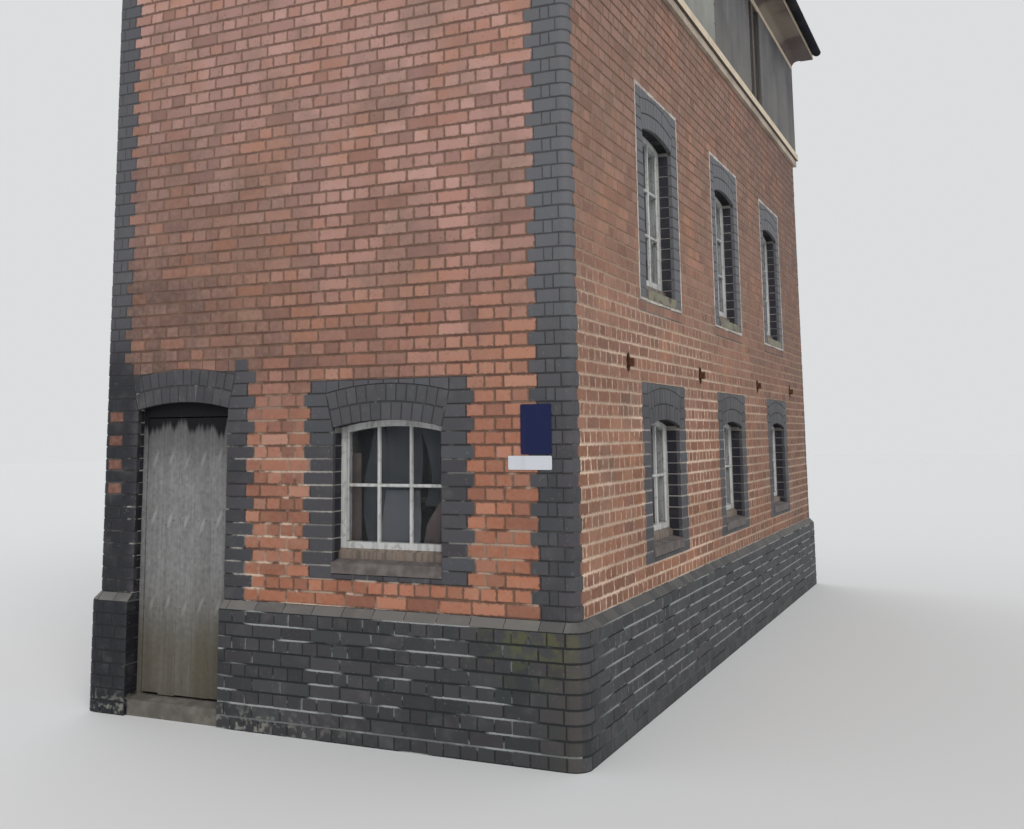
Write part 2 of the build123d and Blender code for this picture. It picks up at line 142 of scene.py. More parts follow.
photo_width, focal_pixels = 1024, 1096.6
camera_data = bpy.data.cameras.new("camera")
camera_data.sensor_width = 36.0
camera_data.lens = focal_pixels * camera_data.sensor_width / photo_width
camera_data.shift_x, camera_data.shift_y = 0.0313, -0.12
camera_data.clip_end = 200.0
camera = add_object("camera", camera_data)
camera.location = (-10.919, -4.288, 1.987)
aim = Vector((0.8977, 0.4211, 0.1299))
roll = Quaternion((0, 0, 1), -0.0090)
camera.rotation_mode = "QUATERNION"
camera.rotation_quaternion = aim.to_track_quat("-Z", "Y") @ roll
bpy.context.scene.camera = camera
print("lens:", round(camera_data.lens, 2), "mm")

# %% [markdown]
# Materials are built from shader nodes. Linking those one by one makes long cells, so three small
# classes keep them short. The first is a Value, which stands for what a node puts out. A plain sum
# with it adds the Math node that works the sum out.

# %% Sums in a shader
def put(socket, value):
    """Links a value to an input, or sets the input to a constant."""
    value = getattr(value, "socket", value)
    if isinstance(value, bpy.types.NodeSocket):
        socket.id_data.links.new(value, socket)
    else:
        socket.default_value = (*value, 1) if socket.type == "RGBA" else value


class Value:
    """A number or colour that a shader works out at each point. Sums with it add Math nodes."""

    def __init__(self, socket):
        self.socket = socket

    def math(self, operation, *others):
        return Nodes(self.socket.id_data).math(operation, self, *others)

    def __rsub__(self, other):
        return Nodes(self.socket.id_data).math("SUBTRACT", other, self)

    def between(self, low, high):
        """One where this lies between two numbers."""
        return self.math("COMPARE", (low + high) / 2, (high - low) / 2)

    def ramp(self, start, end):
        """Nought at the start, one at the end and a smooth ramp between them."""
        tree = Nodes(self.socket.id_data)
        return Value(tree.node("MapRange", self, start, end, interpolation_type="SMOOTHSTEP").outputs[0])


operators = {"add": "ADD", "sub": "SUBTRACT", "mul": "MULTIPLY", "truediv": "DIVIDE", "or": "MAXIMUM",
             "gt": "GREATER_THAN", "lt": "LESS_THAN", "abs": "ABSOLUTE"}
for operator, operation in operators.items():
    setattr(Value, f"__{operator}__", partialmethod(Value.math, operation))
print("sums that a Value knows:", *operators.values())

# %% [markdown]
# The second class adds nodes to a tree and paints a colour in it layer by layer. A mask says where
# each layer lies, and a share how strong it is.

# %% Nodes and layers of colour
class Nodes:
    """A node tree that is being built, and the colour painted in it so far."""

    def __init__(self, tree):
        self.tree = tree

    def node(self, kind, *inputs, **named):
        """A new node, with its first inputs in order, and other inputs and settings by name."""
        made = self.tree.nodes.new("ShaderNode" + kind)
        for key, value in named.items():
            if key in made.inputs:
                put(made.inputs[key], value)
            else:
                setattr(made, key, value)
        for index, value in enumerate(inputs):
            put(made.inputs[index], value)
        return made

    def math(self, operation, *values):
        return Value(self.node("Math", *values, operation=operation).outputs[0])

    def mix(self, mask, below, above, blend="MIX"):
        """Two colours mixed by a mask."""
        made = self.node("Mix", mask, data_type="RGBA", blend_type=blend)
        put(made.inputs[6], below)
        put(made.inputs[7], above)
        return Value(made.outputs[2])

    def layer(self, above, mask, share=None, blend="MIX"):
        """Lays a colour over what is painted, where a mask says and with a share of its strength."""
        self.colour = self.mix(mask * share if share else mask, self.colour, above, blend)

    def split(self, vector, kind="XYZ"):
        """The three parts of a vector or of a colour."""
        return [Value(part) for part in self.node("Separate" + kind, vector).outputs]

    def coordinates(self):
        """Object coordinates, which for every piece here are its place in the building."""
        return self.node("TexCoord").outputs["Object"]

    def place(self):
        """How far along, across and up the point is."""
        return self.split(self.coordinates())

    def use(self, group, **values):
        """The outputs of a node group that is placed here with its own values."""
        made = self.node("Group", node_tree=group.tree, **values)
        return {output.name: Value(output) for output in made.outputs}

    def cloudy(self, group, scale, detail, low, high, seed=0.0):
        """The mask of a noise group with these values."""
        return self.use(group, Scale=scale, Detail=detail, Low=low, High=high, Seed=seed)["Mask"]

    def band(self, direction, start, end):
        """A mask that fades in from start to end, up, along or across the building."""
        return self.use(level_band, Start=start, End=end)[direction]


print("what a tree can do:", [name for name in vars(Nodes) if not name.startswith("_")])

# %% [markdown]
# The third class is a finish: a material with its Principled shader, painted in layers. Its bump
# and its colour are connected last.

# %% A finish
class Finish(Nodes):
    """A material with a Principled shader, whose constant values are set on its own sockets."""

    def __init__(self, name, roughness, specular):
        self.material = bpy.data.materials.new(name)
        self.material.use_nodes = True
        super().__init__(self.material.node_tree)
        self.shader = self.tree.nodes["Principled BSDF"].inputs
        put(self.shader["Roughness"], roughness)
        put(self.shader["Specular IOR Level"], specular)

    def done(self, scale=60.0, coarse=0.5, distance=0.002, strength=0.6, height=None):
        """Connects the painted colour, and grit or another height through a Bump node."""
        height = height or self.use(grit, Scale=scale, Coarse=coarse)["Height"]
        bump = self.node("Bump", Height=height, Strength=strength, Distance=distance)
        put(self.shader["Normal"], bump.outputs[0])
        put(self.shader["Base Color"], self.colour)
        return self.material


print("what a finish adds:", [name for name in vars(Finish) if not name.startswith("_")])

# %% [markdown]
# A plain pale floor takes the building's shadow. The light is that of an overcast day in a studio:
# a bright even world, a soft lamp from the near corner and a weaker one from behind. Camera, glossy
# and transmitted rays see a pale background that is held apart from the light on the object.

# %% Floor, background and light
floor_bm = bmesh.new()
bmesh.ops.create_circle(floor_bm, cap_ends=True, radius=90.0, segments=96)
floor_mesh = bpy.data.meshes.new("studio_floor")
floor_bm.to_mesh(floor_mesh)
floor_bm.free()
floor = add_object("studio_floor", floor_mesh)
floor_paint = Finish("pale_floor", 0.9, 0.5)
put(floor_paint.shader["Base Color"], (0.78, 0.78, 0.775))
floor_mesh.materials.append(floor_paint.material)

world = bpy.data.worlds.new("overcast")
bpy.context.scene.world = world
world.use_nodes = True
world.node_tree.nodes.clear()
sky = Nodes(world.node_tree)
ray = sky.node("LightPath").outputs
seen = Value(ray["Is Camera Ray"]) | ray["Is Glossy Ray"] | ray["Is Transmission Ray"]
sky_light = sky.node("Background", (0.93, 0.96, 1.0), 0.62)
backdrop = sky.node("Background", (0.715, 0.727, 0.735), 1.0)
sky_mix = sky.node("MixShader", seen, sky_light.outputs[0], backdrop.outputs[0])
sky.node("OutputWorld", sky_mix.outputs[0])


def soft_sun(name, towards, strength, spread, colour):
    """A lamp at any distance, its angle wide so that its shadows are soft."""
    data = bpy.data.lights.new(name, "SUN")
    data.energy = strength
    data.angle = math.radians(spread)
    data.color = colour
    lamp = add_object(name, data)
    lamp.rotation_mode = "QUATERNION"
    lamp.rotation_quaternion = Vector(towards).to_track_quat("-Z", "Y")


soft_sun("key", (0.75, 0.62, -0.62), 1.35, 35, (1.0, 0.98, 0.95))
soft_sun("fill", (-0.6, -0.7, -0.45), 0.55, 60, (0.95, 0.97, 1.0))
print("lamps:", [lamp.name for lamp in bpy.data.objects if lamp.type == "LIGHT"])

# %% [markdown]
# Five effects are shared by most finishes, so each is one node group. Patches are soft-edged areas
# from noise, such as soot or bloom. Streaks are the same noise drawn out downwards, as rain leaves
# it, and rows are drawn out sideways, along the courses. The level band fades in from one place to
# another, going up, along or across the building, as damp does near the ground. Grit gives a fine
# height to bump with. A mottled finish, two colours mixed by one of the noises, is the start of most
# materials here.

# %% Shared effects: patches, streaks, rows, level band and grit
class Group(Nodes):
    """A node group with number inputs and named outputs, which several finishes share."""

    def __init__(self, name, outputs, kind="NodeSocketFloat", **inputs):
        super().__init__(bpy.data.node_groups.new(name, "ShaderNodeTree"))
        for label, value in inputs.items():
            socket = self.tree.interface.new_socket(label, in_out="INPUT", socket_type="NodeSocketFloat")
            socket.default_value = value
        for label in outputs:
            self.tree.interface.new_socket(label, in_out="OUTPUT", socket_type=kind)
        self.given = self.tree.nodes.new("NodeGroupInput").outputs
        self.output = self.tree.nodes.new("NodeGroupOutput").inputs


def noise_group(name, stretch):
    """Noise over Object coordinates, cut between two values into a soft mask."""
    group = Group(name, ["Mask"], Scale=1.0, Detail=4.0, Low=0.4, High=0.6, Seed=0.0)
    given = group.given
    stretched = group.node("Mapping", group.coordinates(), Scale=stretch).outputs[0]
    noise = group.node("TexNoise", stretched, noise_dimensions="4D", W=given["Seed"],
                       Scale=given["Scale"], Detail=given["Detail"])
    put(group.output["Mask"], Value(noise.outputs[0]).ramp(given["Low"], given["High"]))
    return group


patches = noise_group("patches", (1, 1, 1))
streaks = noise_group("streaks", (1, 1, 0.06))
rows = noise_group("rows", (0.25, 0.25, 1))

level_band = Group("level_band", ["Up", "Along", "Across"], Start=0.0, End=1.0)
for label, distance in zip(("Along", "Across", "Up"), level_band.place()):
    put(level_band.output[label], distance.ramp(level_band.given["Start"], level_band.given["End"]))

grit = Group("grit", ["Height"], Scale=60.0, Coarse=0.5)
fine = grit.node("TexNoise", grit.coordinates(), Scale=grit.given["Scale"], Detail=6.0, Roughness=0.65)
wide = grit.node("TexNoise", grit.coordinates(), Scale=9.0, Detail=3.0)
put(grit.output["Height"], Value(fine.outputs[0]) + Value(wide.outputs[0]) * grit.given["Coarse"])


def mottled(name, roughness, specular, noise, first, second):
    """The start of a finish in two colours, mixed by one of the noises with its values."""
    paint = Finish(name, roughness, specular)
    paint.mask = paint.cloudy(*noise)
    paint.colour = paint.mix(paint.mask, first, second)
    return paint


print("node groups:", [group.name for group in bpy.data.node_groups])

# %% [markdown]
# The next effect knows the walls. It tells where a point is: on a side wall or an end, back in a
# reveal or a room, and whether the brick there is blue. The blue zones are boxes, a little wider
# than the blue brick itself, so that its joints are in them too.

# %% Place on the walls
surround_half, end_surround_half = 0.605, 0.63
clear_of_end = 0.5
door_surround_edge, door_surround_head = 0.56, 2.47
side_quoin_width, end_quoin_width = 0.10, 0.25
arch_margin = 0.02
reveal_starts, room_starts = 0.028, 0.15


def place_group():
    """The place of a point, with the blue zones given as boxes on the sides and on the ends."""
    group = Group("wall_place", ["Side", "Door end", "Reveal", "Room", "Blue", "Quoin", "Arch", "Level"])
    along, across, up = group.place()
    from_end, from_side = half_length - abs(along), half_width - abs(across)
    depth = from_end.math("MINIMUM", from_side)
    side = from_side < from_end
    end = 1 - side
    lower_row = up.between(lower_window.foot, lower_window.head)
    storeys = lower_row | up.between(upper_window.foot, upper_window.head)
    columns = along.math("PINGPONG", window_pitch / 2) < surround_half
    windows = storeys * columns * (from_end > clear_of_end)
    end_surround = across.between(end_window - end_surround_half, end_window + end_surround_half)
    end_surround = end_surround * lower_row
    door_surround = (across > door_surround_edge) * (up < door_surround_head) * (along < 0.0)
    side_quoin, end_quoin = from_end < side_quoin_width, from_side < end_quoin_width
    blue = side * (windows | side_quoin) + end * (end_surround | door_surround | end_quoin)
    arches = (up.between(lower_springing - arch_margin, lower_window.head + arch_margin)
              | up.between(upper_springing - arch_margin, upper_window.head - arch_margin))
    results = {"Side": side, "Door end": end * (along < 0.0), "Reveal": depth > reveal_starts,
               "Room": depth > room_starts, "Blue": blue, "Quoin": side * side_quoin + end * end_quoin,
               "Arch": arches * blue, "Level": up}
    for label, result in results.items():
        put(group.output[label], result)
    return group


wall_place = place_group()
print("the place group gives:", [socket.name for socket in wall_place.output if socket.name])

# %% [markdown]
# Two groups give the colour of the joints, above the plinth and in it. Soot has darkened them high up
# and on the ends, while lime still shows low on the sides, in the reveals and in patches. The beds
# hold more of it than the upright joints. Where there is no lime, the beds are left darker than the
# upright joints, as painted shade under the edges of the bricks.

# %% Colour of the joints
bed_half = 0.09


def bed_mask(level, first_bed):
    """One in the beds between the courses and nought in the upright joints."""
    share = (level - first_bed) / course
    return abs((share + 0.5).math("FRACT") - 0.5) < bed_half


def wall_joint_group():
    """Colour of the joints above the plinth: dark, tinted with ochre on the sides, then limed."""
    group = Group("wall_joints", ["Color"], "NodeSocketColor")
    where = group.use(wall_place)
    side, bed = where["Side"], bed_mask(where["Level"], plinth_top)
    patchy = group.cloudy(rows, 3.4, 6.0, 0.44, 0.60, 7.0)
    on_side = side * group.band("Up", 3.9, 1.9) * (patchy * 0.45 + 0.55)
    on_side = on_side * (group.band("Along", -3.0, 3.6) * -0.62 + 1.0)
    on_end = (group.band("Up", 2.5, 1.5) * 0.75 + 0.06) * group.cloudy(patches, 5.5, 8.0, 0.49, 0.58, 21.0)
    on_end = on_end * (bed * 0.55 + 0.45) * (group.band("Across", -0.8, 0.1) * 0.5 + 0.5)
    open_wall = (where["Quoin"] | where["Arch"]) * -0.85 + 1.0
    in_reveal = where["Reveal"] * (patchy * 0.3 + 0.5)
    jamb = group.band("Across", -0.20, -0.14) * group.band("Across", 0.12, 0.06) * group.band("Up", 2.0, 1.8)
    by_window = jamb * bed * (1 - side) * (patchy * 0.5 + 0.35)
    limed = ((on_side | on_end) * open_wall) | in_reveal | by_window
    group.colour = group.mix(group.band("Up", 2.0, 4.6), (0.125, 0.070, 0.054), (0.185, 0.112, 0.092))
    group.layer((0.150, 0.098, 0.074), side)
    ochre = (0.300, 0.190, 0.125)
    group.layer(ochre, group.band("Up", 5.4, 3.6) * side, 0.75)
    group.layer(ochre, group.cloudy(patches, 6.0, 6.0, 0.36, 0.66, 13.0), 0.30)
    # Upright joints get more ochre, so the beds stay darker: painted shade under the bricks' edges.
    group.layer(ochre, 1 - bed, 0.16)
    by_blue = group.mix(group.band("Up", 2.0, 3.4), (0.044, 0.043, 0.046), (0.082, 0.081, 0.085))
    group.layer(by_blue, where["Blue"])
    pale = group.mix(where["Blue"], (0.82, 0.63, 0.49), (0.50, 0.47, 0.43))
    mottle = group.cloudy(patches, 28.0, 5.0, 0.3, 0.7, 3.0) * 0.4
    group.layer(group.mix(mottle, pale, (0.62, 0.62, 0.63), "MULTIPLY"), limed)
    put(group.output["Color"], group.colour)
    return group


def plinth_joint_group():
    """Colour of the plinth's joints: nearly black, with lime left in broken lengths."""
    group = Group("plinth_joints", ["Color"], "NodeSocketColor")
    where = group.use(wall_place)
    side, bed = where["Side"], bed_mask(where["Level"], 0.0)
    end_upright = group.cloudy(patches, 10.0, 8.0, 0.52, 0.60, 7.0) * 0.55
    end_bed = group.cloudy(rows, 7.0, 8.0, 0.49, 0.56, 7.0) * 0.95
    broken = group.mix(bed, end_upright, end_bed)
    side_upright = group.cloudy(patches, 8.0, 8.0, 0.40, 0.50, 9.0)
    side_bed = group.cloudy(rows, 8.0, 8.0, 0.43, 0.51, 9.0)
    on_side = side * group.mix(bed, side_upright, side_bed)
    on_side = on_side * group.band("Along", -4.46, -3.9) * group.band("Up", 0.02, 0.22) * 0.9
    on_end = (1 - side) * group.band("Across", 1.60, 1.50)
    lowest = on_end * where["Level"].between(course - 0.007, course + 0.007) * (broken * 0.4 + 0.4)
    limed = on_side | (on_end * broken * group.band("Across", -1.80, -1.4)) | lowest
    put(group.output["Color"], group.mix(limed, (0.030, 0.033, 0.034), (0.36, 0.38, 0.37)))
    return group


wall_joints, plinth_joints = wall_joint_group(), plinth_joint_group()
print("made", wall_joints.tree.name, "and", plinth_joints.tree.name)

# %% [markdown]
# A last group marks the worn edge of a brick, where the joint's colour has crept over it. The edge is
# ragged, because noise is added to the distance from it.

# %% Worn edges
def edge_group():
    """One on the worn edge of a brick, read from the attribute named edge."""
    group = Group("worn_edge", ["Mask"], Width=0.008)
    attribute = group.node("Attribute", attribute_name="edge")
    past_middle, above_middle, half = group.split(attribute.outputs["Vector"])
    to_end, to_bed = half - abs(past_middle), (course - joint) / 2 - abs(above_middle)
    noise = group.node("TexNoise", group.coordinates(), Scale=34.0, Detail=4.0).outputs[0]
    ragged = to_end.math("MINIMUM", to_bed) + (Value(noise) * 0.034 - 0.017)
    put(group.output["Mask"], ragged.ramp(group.given["Width"], 0.0))
    return group


worn_edge = edge_group()
print("node groups in all:", len(bpy.data.node_groups))

# %% [markdown]
# Each brick carries three random numbers in a colour attribute named brick. The red brick's material
# turns the first into a shade from a dull brown red to a clear orange red. Higher up the wall the
# faces are paler and pinker, and soot darkens the door end above the door, fading upwards and
# towards the corner.

# %% Red brick
def numbers_of_brick(paint):
    """The three random numbers that each brick carries."""
    return paint.split(paint.node("Attribute", attribute_name="brick").outputs["Color"], "Color")


def red_brick_finish():
    paint = Finish("red_brick", 0.9, 0.2)
    tone, second, third = numbers_of_brick(paint)
    where = paint.use(wall_place)
    side, end = where["Side"], where["Door end"]
    shades = ((0.0, (0.235, 0.104, 0.073)), (0.3, (0.315, 0.130, 0.084)), (0.6, (0.358, 0.149, 0.096)),
              (0.85, (0.395, 0.170, 0.110)), (1.0, (0.430, 0.220, 0.158)))
    ramp = paint.node("ValToRGB", tone)
    steps = ramp.color_ramp.elements
    steps.remove(steps[1])
    for index, (position, shade) in enumerate(shades):
        step = steps[0] if index == 0 else steps.new(position)
        step.position = position
        step.color = (*shade, 1)
    paint.colour = ramp.outputs[0]
    upper = paint.band("Up", 1.3, 4.4)
    paint.layer(paint.mix(side, (0.605, 0.375, 0.340), (0.374, 0.223, 0.190)), upper, 0.72)
    paint.layer(paint.mix(upper, (0.240, 0.120, 0.070), (0.270, 0.170, 0.134)), side, 0.66)
    paint.layer((0.200, 0.150, 0.118), paint.cloudy(patches, 2.3, 8.0, 0.47, 0.68, 6.0), 0.55)
    paint.layer((0.470, 0.222, 0.135), paint.cloudy(patches, 1.7, 7.0, 0.50, 0.68, 11.0), 0.58)
    above_door = end * paint.band("Up", 2.0, 2.6) * paint.band("Up", 5.9, 2.4)
    above_door = above_door * paint.band("Across", -1.0, 1.8)
    soot = paint.cloudy(patches, 3.0, 6.0, 0.30, 0.62, 2.0) * 0.35 + 0.65
    paint.layer((0.112, 0.082, 0.071), above_door * soot)
    # The pier left of the door is darkened with soot and painted shade.
    pier = end * paint.band("Across", 1.60, 1.68) * paint.band("Up", 2.6, 2.4)
    paint.layer((0.110, 0.046, 0.038), pier, 0.80)
    bright = (paint.band("Across", -0.7, -1.2) * paint.band("Up", 2.4, 1.9)) | paint.band("Up", 1.20, 1.02)
    paint.layer((0.530, 0.190, 0.100), end * bright, 0.42)
    paint.layer((0.60, 0.66, 0.74), side * paint.band("Along", -1.5, 4.6), blend="MULTIPLY")
    paint.layer((0.46, 0.29, 0.225), paint.cloudy(patches, 24.0, 6.0, 0.30, 0.75), 0.32)
    paint.layer((0.150, 0.092, 0.072), paint.cloudy(patches, 55.0, 5.0, 0.58, 0.72, 3.0), 0.45)
    paint.layer((0.450, 0.190, 0.110), (second > 0.84) * (side * -0.5 + 1.0), 0.26)
    paint.layer((0.180, 0.100, 0.085), third < 0.16, 0.34)
    paint.layer((0.70, 0.67, 0.66), 1 - tone, 0.55, "MULTIPLY")
    worn = paint.use(worn_edge, Width=0.010)["Mask"]
    paint.layer(paint.use(wall_joints)["Color"], worn, 0.8)
    rough = paint.use(grit, Scale=55.0, Coarse=0.6)["Height"]
    return paint.done(distance=0.004, height=rough - worn * 0.8)


red_brick = red_brick_finish()
print("made", red_brick.name)

# %% [markdown]
# Blue engineering brick is fired hard and nearly black, with a slight sheen. The same attribute
# varies it between blue, grey and purple. It is lighter higher up the wall. The reveals, the soffits
# of the arches and the door's jamb are darkened with painted shade, and the pier left of the door is
# darkened with soot and painted shade. Green growth holds under the plinth's cap near the corner, and
# pale lime has run down at its foot by the door. The cap of the plinth is dustier, and shaded along
# the side.

# %% Blue brick
def blue_brick_finish(name, plinth, *shades):
    paint = Finish(name, 0.68, 0.3)
    tone, second, third = numbers_of_brick(paint)
    where = paint.use(wall_place)
    end = where["Door end"]
    paint.colour = paint.mix(tone, *shades)
    paint.layer((0.070, 0.056, 0.066), second, 0.4)
    paint.layer((0.172, 0.174, 0.186), paint.band("Up", 1.7, 3.5), 0.62)
    paint.layer((0.76, 0.75, 0.77), end * paint.band("Across", 0.3, 0.9), blend="MULTIPLY")
    # The reveals are darkened with painted shade, and the soffits of the arches nearly black with it.
    paint.layer((0.010, 0.010, 0.018), where["Reveal"], 0.85)
    paint.layer((0.004, 0.004, 0.006), where["Arch"] * where["Reveal"], 0.9)
    # The pier left of the door is darkened with soot and painted shade.
    pier = end * paint.band("Across", 1.50, 1.66) * paint.band("Up", 2.9, 2.4)
    paint.layer((0.015, 0.016, 0.022), pier, 0.82)
    # The face of the door's jamb is painted dark as shade.
    jamb_face = door_centre + opening_half - into_opening
    door_jamb = paint.place()[1].between(jamb_face - 0.002, jamb_face + 0.002)
    paint.layer((0.006, 0.006, 0.010), end * door_jamb, 0.85)
    paint.layer((0.160, 0.150, 0.140), paint.cloudy(patches, 7.0, 6.0, 0.50, 0.80, 4.0), 0.3)
    if plinth:
        growth = end * paint.cloudy(patches, 13.0, 8.0, 0.44, 0.58, 9.0)
        growth = growth * paint.band("Up", 0.35, 0.84) * paint.band("Across", -1.10, -1.65)
        paint.layer((0.100, 0.105, 0.040), growth, 0.8)
        paint.layer((0.078, 0.066, 0.056), end * paint.band("Across", -1.60, -1.93), 0.5)
        run = paint.band("Up", 0.22, 0.02) * paint.band("Across", -0.7, 0.6)
        paint.layer((0.280, 0.270, 0.235), run * paint.cloudy(patches, 22.0, 7.0, 0.50, 0.60, 14.0), 0.75)
    paint.layer((0.25, 0.24, 0.22), paint.cloudy(patches, 45.0, 3.0, 0.62, 0.72, 1.0), 0.25)
    worn = paint.use(worn_edge, Width=0.005)["Mask"]
    paint.layer(paint.use(plinth_joints if plinth else wall_joints)["Color"], worn, 0.32)
    rough = paint.use(grit, Scale=45.0, Coarse=0.5)["Height"]
    return paint.done(distance=0.003, height=rough - worn * 0.6)


def cap_brick_finish():
    paint = Finish("cap_brick", 0.66, 0.35)
    paint.colour = paint.mix(numbers_of_brick(paint)[0], (0.100, 0.096, 0.094), (0.165, 0.155, 0.145))
    paint.layer((0.235, 0.215, 0.185), paint.cloudy(patches, 6.0, 6.0, 0.45, 0.75, 6.0), 0.5)
    by_track = paint.use(wall_place)["Side"] | paint.band("Across", -1.84, -1.92)
    shaded = by_track * (paint.band("Along", -2.0, 4.5) * -0.45 + 1.0)
    paint.layer((0.55, 0.57, 0.59), shaded, blend="MULTIPLY")
    return paint.done(scale=40.0, coarse=0.4)


blue_brick = blue_brick_finish("blue_brick", False, (0.046, 0.048, 0.053), (0.078, 0.080, 0.088))
plinth_brick = blue_brick_finish("plinth_brick", True, (0.028, 0.032, 0.034), (0.056, 0.061, 0.063))
cap_brick = cap_brick_finish()
print("made", blue_brick.name, plinth_brick.name, cap_brick.name)

# %% [markdown]
# The CAD walls show only in the joints, so they are given the mortar. Inside, the same walls have
# old grey limewash, darkened both as dirt and as painted shade of the dim rooms, which the mask of
# the rooms switches to.

# %% Mortar
def mortar_finish(name, joints=None):
    """Mortar in the colour of a group of joints, or dark with a few pale streaks."""
    if joints:
        paint = Finish(name, 0.95, 0.1)
        paint.colour = paint.use(joints)["Color"]
    else:
        paint = mottled(name, 0.95, 0.1, (streaks, 16.0, 5.0, 0.54, 0.70, 2.0),
                        (0.060, 0.061, 0.064), (0.22, 0.21, 0.20))
    fine = paint.cloudy(patches, 12.0, 5.0, 0.3, 0.7, 3.0)
    # Inside the rooms the limewash is dark grey, partly dirt and partly painted shade of the dim rooms.
    paint.layer(paint.mix(fine, (0.22, 0.21, 0.19), (0.14, 0.13, 0.12)), paint.use(wall_place)["Room"])
    return paint.done(scale=90.0, coarse=0.8, distance=0.003)


def give(material, *names):
    """Assigns a material to every slot of the named CAD nodes."""
    for name in names:
        for slot in nodes[name].material_slots:
            slot.material = material
    print(material.name, "given to", ", ".join(names))


four_sides = ("track_side", "rear", "far_end", "door_end")
give(mortar_finish("wall_mortar", wall_joints), "wall_over_door", *[f"wall_{side}" for side in four_sides])
give(mortar_finish("plinth_mortar", plinth_joints), *[f"plinth_{side}" for side in four_sides])
give(mortar_finish("arch_mortar"), "door_arch", "track_window_arches", "rear_window_arches",
     "end_window_arches")

# %% [markdown]
# A brick could be a cube with a live Bevel modifier, but ten thousand of those would be slow. One
# brick is shaped with bmesh instead, its back sunk into the wall and its front edges bevelled. Each
# of its points is then noted as an end of the brick plus a small offset, so that the same shape
# serves for any length of brick with the same sharp arris. A brick that turns the rounded corner
# needs more points along its length.

# %% One brick as a pattern
def bevel(bm, edges, offset, segments=1):
    """Bevels some edges and returns the points of the new faces."""
    return bmesh.ops.bevel(bm, geom=edges, offset=offset, affect="EDGES", segments=segments, profile=0.5,
                           material=-1)["verts"]


def block(bm, size, centre=(0, 0, 0), edge=0.0):
    """Adds a box of a size at a place, its edges bevelled if asked, and returns its points."""
    made = bmesh.ops.create_cube(bm, size=1.0)["verts"]
    bmesh.ops.scale(bm, vec=size, verts=made)
    bmesh.ops.translate(bm, vec=centre, verts=made)
    if edge:
        made = bevel(bm, list(dict.fromkeys(line for vert in made for line in vert.link_edges)), edge)
    return made


def front_bevel(bm):
    """Bevels the edges round the front of a brick."""
    bevel(bm, [edge for edge in bm.edges if all(vert.co.y > 0 for vert in edge.verts)], arris)


def take_apart(bm):
    """The points and faces of a bmesh, which is freed."""
    bm.verts.ensure_lookup_table()
    points = np.array([vert.co for vert in bm.verts]).reshape(-1, 3)
    faces = [[vert.index for vert in face.verts] for face in bm.faces]
    bm.free()
    return points, faces


Pattern = namedtuple("Pattern", "along up along_offset up_offset out_offset front faces")
pattern_depth = 0.02


def brick_pattern(columns):
    """The points and faces of a brick, each point as a share of its size and an offset."""
    size = Vector((stretcher - joint, pattern_depth, course - joint))
    bm = bmesh.new()
    block(bm, size)
    front_bevel(bm)
    if columns > 1:
        long_edges = [edge for edge in bm.edges if abs(edge.verts[0].co.x - edge.verts[1].co.x) > size.x / 2]
        bmesh.ops.subdivide_edges(bm, edges=long_edges, cuts=columns - 1, use_grid_fill=True)
    points, faces = take_apart(bm)
    shares, offsets = [], []
    for axis in (0, 2):
        edge = size[axis] / 2
        near_end = np.abs(points[:, axis]) > edge - arris - 1e-5
        sign = np.sign(points[:, axis])
        shares.append(np.where(near_end, (sign + 1) / 2, points[:, axis] / size[axis] + 0.5))
        offsets.append(np.where(near_end, points[:, axis] - sign * edge, 0.0))
    front = points[:, 1] > 0
    out_offset = np.where(front, points[:, 1] - size.y / 2, 0.0)
    return Pattern(*shares, *offsets, out_offset, front, faces)


plain_brick, corner_brick = brick_pattern(1), brick_pattern(8)
print("faces of a brick:", len(plain_brick.faces), "and of a corner brick:", len(corner_brick.faces))

# %% [markdown]
# A wall is easier to lay out flat and then bend: each point has a place along its wall, a distance
# outwards and a level, and one function carries it to its place in the building, round the rounded
# corner if it lies beyond the straight part. Two of the walls come out turned over, and their faces
# are turned back.

# %% From a flat layout to the building
Wall = namedtuple("Wall", "axis normal half face turned_over")
walls = {
    "track": Wall(Vector((1, 0)), Vector((0, -1)), half_length, half_width, True),
    "rear": Wall(Vector((1, 0)), Vector((0, 1)), half_length, half_width, False),
    "door_end": Wall(Vector((0, 1)), Vector((-1, 0)), half_width, half_length, False),
    "far_end": Wall(Vector((0, 1)), Vector((1, 0)), half_width, half_length, True),
}
long_sides, ends = ("track", "rear"), ("door_end", "far_end")


def on_wall(side, along, out, up):
    """Places in the building of points given along a wall, outwards from it and up."""
    axis, normal, half, face = walls[side][:4]
    straight = half - bullnose
    past = np.abs(along) - straight
    angle = np.clip(past / bullnose, 0, math.pi / 2)
    beyond = np.maximum(past - bullnose * math.pi / 2, 0)
    across = np.sign(along) * (np.minimum(np.abs(along), straight) + (bullnose + out) * np.sin(angle))
    outwards = face - bullnose + (bullnose + out) * np.cos(angle) - beyond
    places = [across * axis.x + outwards * normal.x, across * axis.y + outwards * normal.y, up]
    return np.stack(places, axis=-1)


near_corner = on_wall("door_end", np.array([-half_width]), np.array([0.0]), np.array([1.0]))
print("near corner at", near_corner.round(3))

# %% [markdown]
# The layout works course by course. A course stops beside the openings that it meets, and is divided
# at the joints of the bond, with no piece left shorter than half a header. The corner bricks belong
# to the end walls: they turn the corner and reach a little way along the side, further in every
# second course, which tooths the quoin into the red. How far a quoin reaches along the end, and
# where its joints are, is listed for courses of stretchers (True) and of headers (False).

# %% Where a course is divided
shortest, longest = 0.055, 0.262
long_reach, short_reach = 0.110, 0.060
quoins = {True: (stretcher, ()), False: (stretcher + closer, (header, header + closer))}
quoins_by_door = {True: (0.230, ()), False: (0.178, (header,))}


